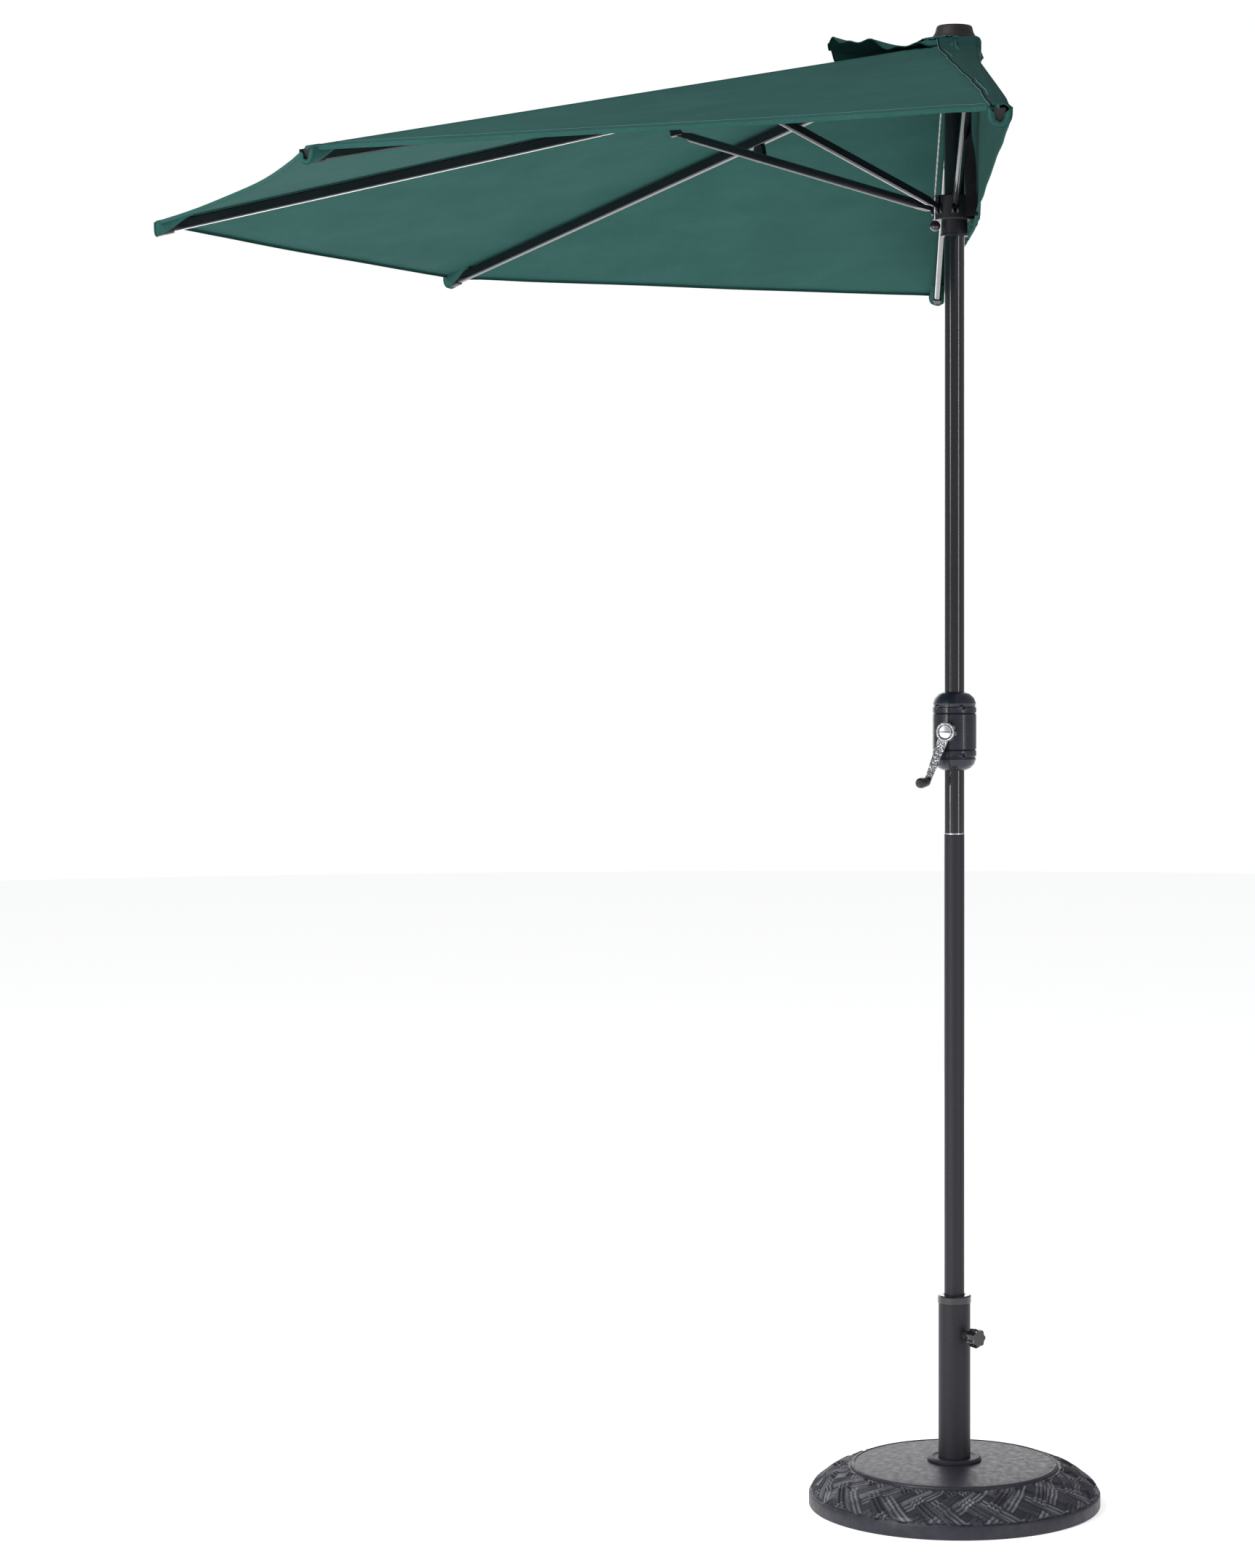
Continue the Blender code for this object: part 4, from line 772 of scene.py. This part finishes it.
def make_flap_sector(i):
    first = AZIMUTH[1] + 0.03 if i == 1 else (AZIMUTH[i - 1] + AZIMUTH[i]) / 2
    last = AZIMUTH[5] - 0.03 if i == 5 else (AZIMUTH[i] + AZIMUTH[i + 1]) / 2
    across, along = 26, 12
    rows, uvs = [], []
    for j in range(along + 1):
        angles = [first + (last - first) * k / across for k in range(across + 1)]
        rows.append([flap_point(a, j / along) for a in angles])
        uvs.append([(a * 0.2, 0.2 * j / along) for a in angles])
    name = f"vent_flap_sector_{i}"
    mesh = sheet_mesh(name, rows, uvs)
    piece = thickened(as_piece(name, mesh, CLOTH, CLOTH_HEM_PAINTED_SHADE, PIPING), CLOTH_T)
    # Slot 1, edge, is the darker hem cloth: painted shade on the flap's hem.
    edge, piped = 1, 2
    hem = [p + Vector((0, 0, 0.0006)) for p in rows[-1]]
    with opened(piece.data) as bm:
        add_grid(bm, tube_rings(hem, 0.0013, 6), edge, closed=True)
        if i == 3:
            above = Vector((0, 0, 0.0016))
            piping = [flap_point(AZIMUTH[3] - 0.02, s / 10) + above for s in range(4, 11)]
            add_grid(bm, tube_rings(piping, 0.0012, 6), piped, closed=True)
    shaded(piece.data, 60)
    t = tangent(i)
    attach(piece, f"rib_{i}")
    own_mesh(piece)
    if i == 3:
        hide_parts("vent_flap")
    area = sum(face.area for face in piece.data.polygons if face.material_index == 0) / 2
    width = max(p.dot(t) for p in rows[-1]) - min(p.dot(t) for p in rows[-1])
    length = max((p - q).length for p, q in zip(rows[0], rows[-1]))
    return piece, width, length, area


def make_tie_strap():
    """The black ribbon that ties the folded canopy, hanging inside the wall cloth."""
    top = HUB_Z - (STRAP_X - PIVOT_R) * math.tan(RIB_SLOPE) - 0.0100
    low = HEM_Z - 0.006
    rows, uvs = [], []
    for j in range(37):
        share = j / 36
        z = blend(top, low, share)
        turn = 1.25 - 1.0 * smooth(share, 0.25, 0.8) + 0.22 * math.sin(share * 17.0)
        middle = Vector((STRAP_X + 0.004 * math.sin(share * 13.0), 0.0075 + 0.0085 * share, z))
        side = Vector((math.sin(turn), math.cos(turn), 0.0))
        row = []
        for k in range(7):
            across = (k / 6 - 0.5) * STRAP_W
            cup = 0.0012 * math.cos(math.pi * (k / 6 - 0.5))
            row.append(middle + across * side + Vector((cup, 0, 0)))
        rows.append(row)
        uvs.append([(STRAP_W * k / 6, z) for k in range(7)])
    bm = bmesh.new()
    add_grid(bm, rows, 0, uvs)
    piece = thickened(as_piece("tie_strap", mesh_from("tie_strap", bm), STRAP), 0.0010, 0.0)
    shaded(piece.data, 60)
    across = Vector((math.sin(RIB_SLOPE), 0.0, math.cos(RIB_SLOPE)))
    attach(piece, "rib_1")
    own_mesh(piece)
    return piece


def make_lift_cord():
    """The outer run of the cord, taut from the pulley to the runner and through its notch to the ball."""
    box_low, box_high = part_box("lift_cord")
    hanging_r = PIVOT_R + 0.0035
    leaves = radial(CORD_AZIMUTH, 0.0200, box_high.z)
    notch = radial(CORD_AZIMUTH, hanging_r, FLANGE_HIGH_Z)
    ball = radial(CORD_AZIMUTH, hanging_r, box_low.z)
    points = [leaves.lerp(notch, k / 60) for k in range(61)]
    points += [notch.lerp(ball, k / 12) for k in range(1, 13)]
    piece = loft("lift_cord_outer", tube_rings(points, CORD_R, 14), ROPE)
    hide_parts("lift_cord")
    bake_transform(piece)
    return piece


def make_crown_gather():
    """The bunched cloth under the cap. It lies on the slope and hangs down on the wall side."""
    across, along = 240, 12
    rows, uvs = [], []
    for j in range(along + 1):
        s = j / along
        row, uv = [], []
        for k in range(across):
            angle = math.tau * k / across
            wall = smooth(math.sin(angle), -0.05, 0.55)
            crease = math.sin(13 * angle + 1.7 * math.sin(3 * angle)) + 0.5 * math.sin(29 * angle + 2.0)
            fold = 0.0026 * crease * s**0.8
            reach = blend(0.0270 + 0.004 * math.sin(7 * angle), 0.0125, wall)
            radius = BRIM_R - 0.0065 + reach * s**0.9 + 0.5 * wall * abs(fold)
            lying = cloth_z(radius) + CLOTH_T + 0.0026 + abs(fold) * (1 - 0.4 * s)
            hanging = CROWN_Z + 0.0004 - 0.0260 * s**1.3 + 0.4 * fold
            z = min(blend(lying, hanging, wall), BRIM_Z - 0.0008)
            row.append(radial(angle, radius, z))
            uv.append((angle * 0.045, 0.03 * s))
        rows.append(row)
        uvs.append(uv)
    name = "crown_gather"
    mesh = sheet_mesh(name, rows, uvs, closed=True)
    piece = thickened(as_piece(name, mesh, CLOTH, CLOTH_HEM_PAINTED_SHADE), 0.0009)
    area = sum(face.area for face in piece.data.polygons) / 2
    # Slot 1, edge, is the darker hem cloth: painted shade on the gather's edge.
    edge = 1
    with opened(piece.data) as bm:
        add_grid(bm, tube_rings(rows[-1] + rows[-1][:1], 0.0009, 6), edge, closed=True)
    shaded(piece.data, 70)
    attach(piece, "upper_mast")
    return piece, area


# ---- Housing seam, crank face and runner trim ----------------------------------------------------
def tree_of(*names):
    bm = bmesh.new()
    for name in names:
        bm.from_mesh(NODES[name].data)
    tree = BVHTree.FromBMesh(bm)
    bm.free()
    return tree


def make_housing_seam():
    """The parting line of the housing's two halves, up its front and its back, as a fine dark joint."""
    tree = tree_of("housing_left", "housing_right")
    low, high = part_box("housing_left")[0].z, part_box("housing_left")[1].z
    for name, angle in (
        ("housing_seam_front", CRANK_AZIMUTH + 0.045),
        ("housing_seam_back", CRANK_AZIMUTH + math.pi + 0.045),
    ):
        points = []
        for k in range(61):
            start = radial(angle, 0.2, blend(low + 0.0012, high - 0.0012, k / 60))
            hit = tree.ray_cast(start, -radial(angle, 1.0))
            if hit[0] is not None and hit[0].xy.length > MAST_R + 0.0005:
                points.append(hit[0])
        seam = loft(name, tube_rings(points, 0.0009, 6), SEAM_BLACK)
        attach(seam, "upper_mast")


def face_ring(name, radius, thickness, out, finish, segments=64):
    """A torus about the crank's axis, at a distance out from the mast's axis."""
    rings = []
    for k in range(segments):
        angle = math.tau * k / segments
        ring = []
        for j in range(12):
            turn = math.tau * j / 12
            from_axis = radius + thickness * math.cos(turn)
            across, up = from_axis * math.cos(angle), from_axis * math.sin(angle)
            ring.append(crank_place(out + thickness * math.sin(turn), across, up))
        rings.append(ring)
    return loft(name, rings + [rings[0]], finish, False, 60)


def crank_place(out, across, up):
    """A point by its distance out from the mast's axis, and across and up from the crank's axis."""
    centre = JOINTS["crank_turn"]["pos_m"]
    return radial(CRANK_AZIMUTH, out, centre[2] + up) + radial(CRANK_AZIMUTH + math.pi / 2, across)


def make_crank_face():
    """A raised chrome rim, a dark ground and a plain pale badge with one bar across it."""
    front = max(v.co.dot(radial(CRANK_AZIMUTH, 1.0)) for v in NODES["crank_cap"].data.vertices)
    pieces = [
        face_ring("crank_rim", 0.0132, 0.0011, front, CHROME),
        face_ring("crank_badge_rim", 0.0094, 0.0005, front, CHROME),
    ]
    rings = []
    for radius, out in ((0.0092, -0.0004), (0.0092, 0.0004), (0.0086, 0.0006), (0.0001, 0.0007)):
        turns = [math.tau * k / 48 for k in range(48)]
        rings.append([crank_place(front + out, radius * math.cos(a), radius * math.sin(a)) for a in turns])
    pieces.append(loft("crank_badge", rings, ZINC))
    bar = ((-0.0088, -0.0007), (0.0088, -0.0007), (0.0088, 0.0007), (-0.0088, 0.0007))
    rings = [[crank_place(front + out, a, u) for a, u in bar] for out in (0.0, 0.0011)]
    pieces.append(loft("crank_badge_bar", rings, BLACK_PLASTIC))
    for piece in pieces:
        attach(piece, "crank")


def make_runner_trim():
    """Cheeks beside each strut's slot on the runner, with a bright rivet through each pair."""
    centre_z = JOINTS["runner_pivot"]["pos_m"][2]
    for i in RIBS:
        out = radial(AZIMUTH[i], 1.0)
        t = tangent(i)
        parts = []
        for turn, side in ((1, "left"), (-1, "right")):
            rings = []
            for across in (0.0024, 0.0030, 0.0050, 0.0056):
                shrink = 0.0006 if across in (0.0024, 0.0056) else 0.0
                ring = []
                for k in range(20):
                    angle = math.tau * k / 20
                    up = (0.0088 - shrink) * math.sin(angle)
                    far = (0.0074 - shrink) * math.cos(angle)
                    level = Vector((0, 0, centre_z - 0.002 + up))
                    ring.append(out * (PIVOT_R + 0.0008 + far) + t * across * turn + level)
                rings.append(ring)
            parts.append(loft(f"runner_cheek_{i}_{side}", rings, GLOSS_PLASTIC))
            head = []
            for across, radius in ((0.0050, 0.0030), (0.0066, 0.0030), (0.0072, 0.0022), (0.0074, 0.0004)):
                head.append([
                    out * (PIVOT_R + 0.0004 + radius * math.cos(math.tau * k / 16)) + t * across * turn
                    + Vector((0, 0, centre_z + radius * math.sin(math.tau * k / 16)))
                    for k in range(16)
                ])
            parts.append(loft(f"runner_rivet_{i}_{side}", head, CHROME))
        for part in parts:
            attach(part, "runner")


# ---- Weight --------------------------------------------------------------------------------------
WEAVE_REPEATS = 16  # round the weight
BAND_HALF = 0.195  # half a band's width, as a share of a repeat
REEDS = 3  # in a band
RELIEF_H = 0.0055


def weave_height(around, out):
    """Basket weave between 0 and 1: two families of bands of reeds that pass over and under each other.

    around and out count the weave's repeats. The bands cross where out is a multiple of a half. A band
    keeps its height between crossings, and dips only where it goes under the other one."""
    across = {turn: (around - turn * out) % 1.0 - 0.5 for turn in (1.0, -1.0)}
    inside = {turn: at for turn, at in across.items() if abs(at) < BAND_HALF}
    if not inside:
        return 0.0
    over = {turn: 0.5 + 0.5 * turn * math.cos(math.tau * out) for turn in inside}
    turn = max(over, key=over.get)
    reed = abs(math.sin(math.pi * REEDS * (inside[turn] + BAND_HALF) / (2 * BAND_HALF)))
    crossing = smooth(BAND_HALF + 0.10 - abs(across[-turn]), 0.0, 0.10)
    dip = crossing * (1 - smooth(over[turn], 0.35, 0.65))
    return (0.36 + 0.64 * reed**0.8) * (1 - 0.42 * dip)


def make_weight():
    """The weight: a profile of (radius, height, share of relief), turned, with the weave on its slope."""
    plate_r = 0.1600
    rim_h = 0.0200
    profile = [
        (0.0262, WEIGHT_TOP_Z, 0.0),
        (0.0800, WEIGHT_TOP_Z - 0.0010, 0.0),
        (plate_r - 0.0100, WEIGHT_TOP_Z - 0.0043, 0.0),
        (plate_r - 0.0035, WEIGHT_TOP_Z - 0.0048, 0.0),
    ]
    bead = 0.0035
    for k in range(7):
        angle = math.pi * k / 6
        r = plate_r + bead * (1 - math.cos(angle)) - 0.002
        profile.append((r, WEIGHT_TOP_Z - 0.0052 - 0.0007 * k + 0.0030 * math.sin(angle), 0.0))
    slope = [
        (plate_r + 0.0080, WEIGHT_TOP_Z - 0.0085),
        (WEIGHT_R - 0.0393, WEIGHT_TOP_Z - 0.0175),
        (WEIGHT_R - 0.0282, WEIGHT_TOP_Z - 0.0245),
        (WEIGHT_R - 0.0097, rim_h + 0.0110),
        (WEIGHT_R - 0.0032, rim_h + 0.0025),
    ]
    lengths = [0.0]
    for (r0, z0), (r1, z1) in zip(slope, slope[1:]):
        lengths.append(lengths[-1] + math.hypot(r1 - r0, z1 - z0))
    steps = 64
    for k in range(steps + 1):
        along = lengths[-1] * k / steps
        part = max(j for j in range(len(slope) - 1) if lengths[j] <= along + 1e-9)
        share = (along - lengths[part]) / (lengths[part + 1] - lengths[part])
        r = blend(slope[part][0], slope[part + 1][0], share)
        z = blend(slope[part][1], slope[part + 1][1], share)
        fade = smooth(k / steps, 0.0, 0.05) * smooth(1 - k / steps, 0.0, 0.06)
        profile.append((r, z, fade))
    profile += [
        (WEIGHT_R - 0.0008, rim_h + 0.0008, 0.0),
        (WEIGHT_R, rim_h - 0.0010, 0.0),
        (WEIGHT_R, 0.0100, 0.0),
        (WEIGHT_R, 0.0020, 0.0),
        (WEIGHT_R - 0.0006, 0.0006, 0.0),
        (WEIGHT_R - 0.0020, 0.0, 0.0),
        (0.2050, 0.0, 0.0),
        (0.1970, 0.0200, 0.0),
        (0.0830, 0.0200, 0.0),
        (0.0750, 0.0, 0.0),
        (0.0353, 0.0, 0.0),
        (0.0353, 0.0043, 0.0),
        (0.0228, 0.0043, 0.0),
        (0.0228, 0.0165, 0.0),
        (0.0055, 0.0165, 0.0),
        (0.0055, 0.0300, 0.0),
        (0.0260, 0.0300, 0.0),
    ]
    segments = 768
    rings, heights = [], []
    total = lengths[-1]
    along = 0.0
    last = None
    for r, z, fade in profile:
        if fade > 0 and last is not None:
            along += math.hypot(r - last[0], z - last[1])
        last = (r, z)
        ring, level = [], []
        for i in range(segments):
            angle = math.tau * i / segments
            height = 0.0
            if fade > 0:
                around = angle / math.tau * WEAVE_REPEATS
                height = weave_height(around, along / total + 0.25) * fade
            rise = RELIEF_H * (height - 0.60 * fade)
            ring.append(radial(angle, r + 0.55 * rise, z + 0.83 * rise))
            level.append(height)
        rings.append(ring)
        heights.append(level)
    piece = loft("weight_relief", rings + [rings[0]], STONE, False, 50)
    with opened(piece.data) as bm:
        bmesh.ops.remove_doubles(bm, verts=bm.verts, dist=0.00001)
    shaded(piece.data, 50)
    layer = piece.data.attributes.new("relief", "FLOAT", "POINT")
    flat = [h for level in heights for h in level]
    layer.data.foreach_set("value", flat[: len(piece.data.vertices)])
    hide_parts("base_weight")
    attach(piece, "base")


# ---- Carried-over nodes --------------------------------------------------------------------------
def dress_nodes():
    """Gives every CAD node its finish, welded, smooth-shaded and split at edges sharper than 32 degrees so that
    round parts shade round.
    """
    slots = {part["node"]: part["material_slot"] for part in frame["record"]["subparts"]}
    for name, node in NODES.items():
        node.data.materials.clear()
        node.data.materials.append(FINISH_OF_SLOT[slots[name]])
        node.data.shade_smooth()
        weld = node.modifiers.new("weld", "WELD")
        weld.merge_threshold = 0.00002
        split = node.modifiers.new("sharp_edges", "EDGE_SPLIT")
        split.split_angle = math.radians(32)
        split.use_edge_sharp = False
    NODES["crank_arm"].data.materials[0] = HATCHED
    NODES["socket_collar"].data.materials[0] = GLOSS_PLASTIC


make_camera()
make_studio()
dress_nodes()
for rib in RIBS:
    sector, sector_w, sector_area = make_sector(rib)
for rib in (1, 5):
    wall, wall_area = make_wall_half(rib)
for rib in RIBS:
    flap, flap_w, flap_l, flap_area = make_flap_sector(rib)
gather, gather_area = make_crown_gather()
make_tie_strap()
make_lift_cord()
make_weight()
make_housing_seam()
make_crank_face()
make_runner_trim()
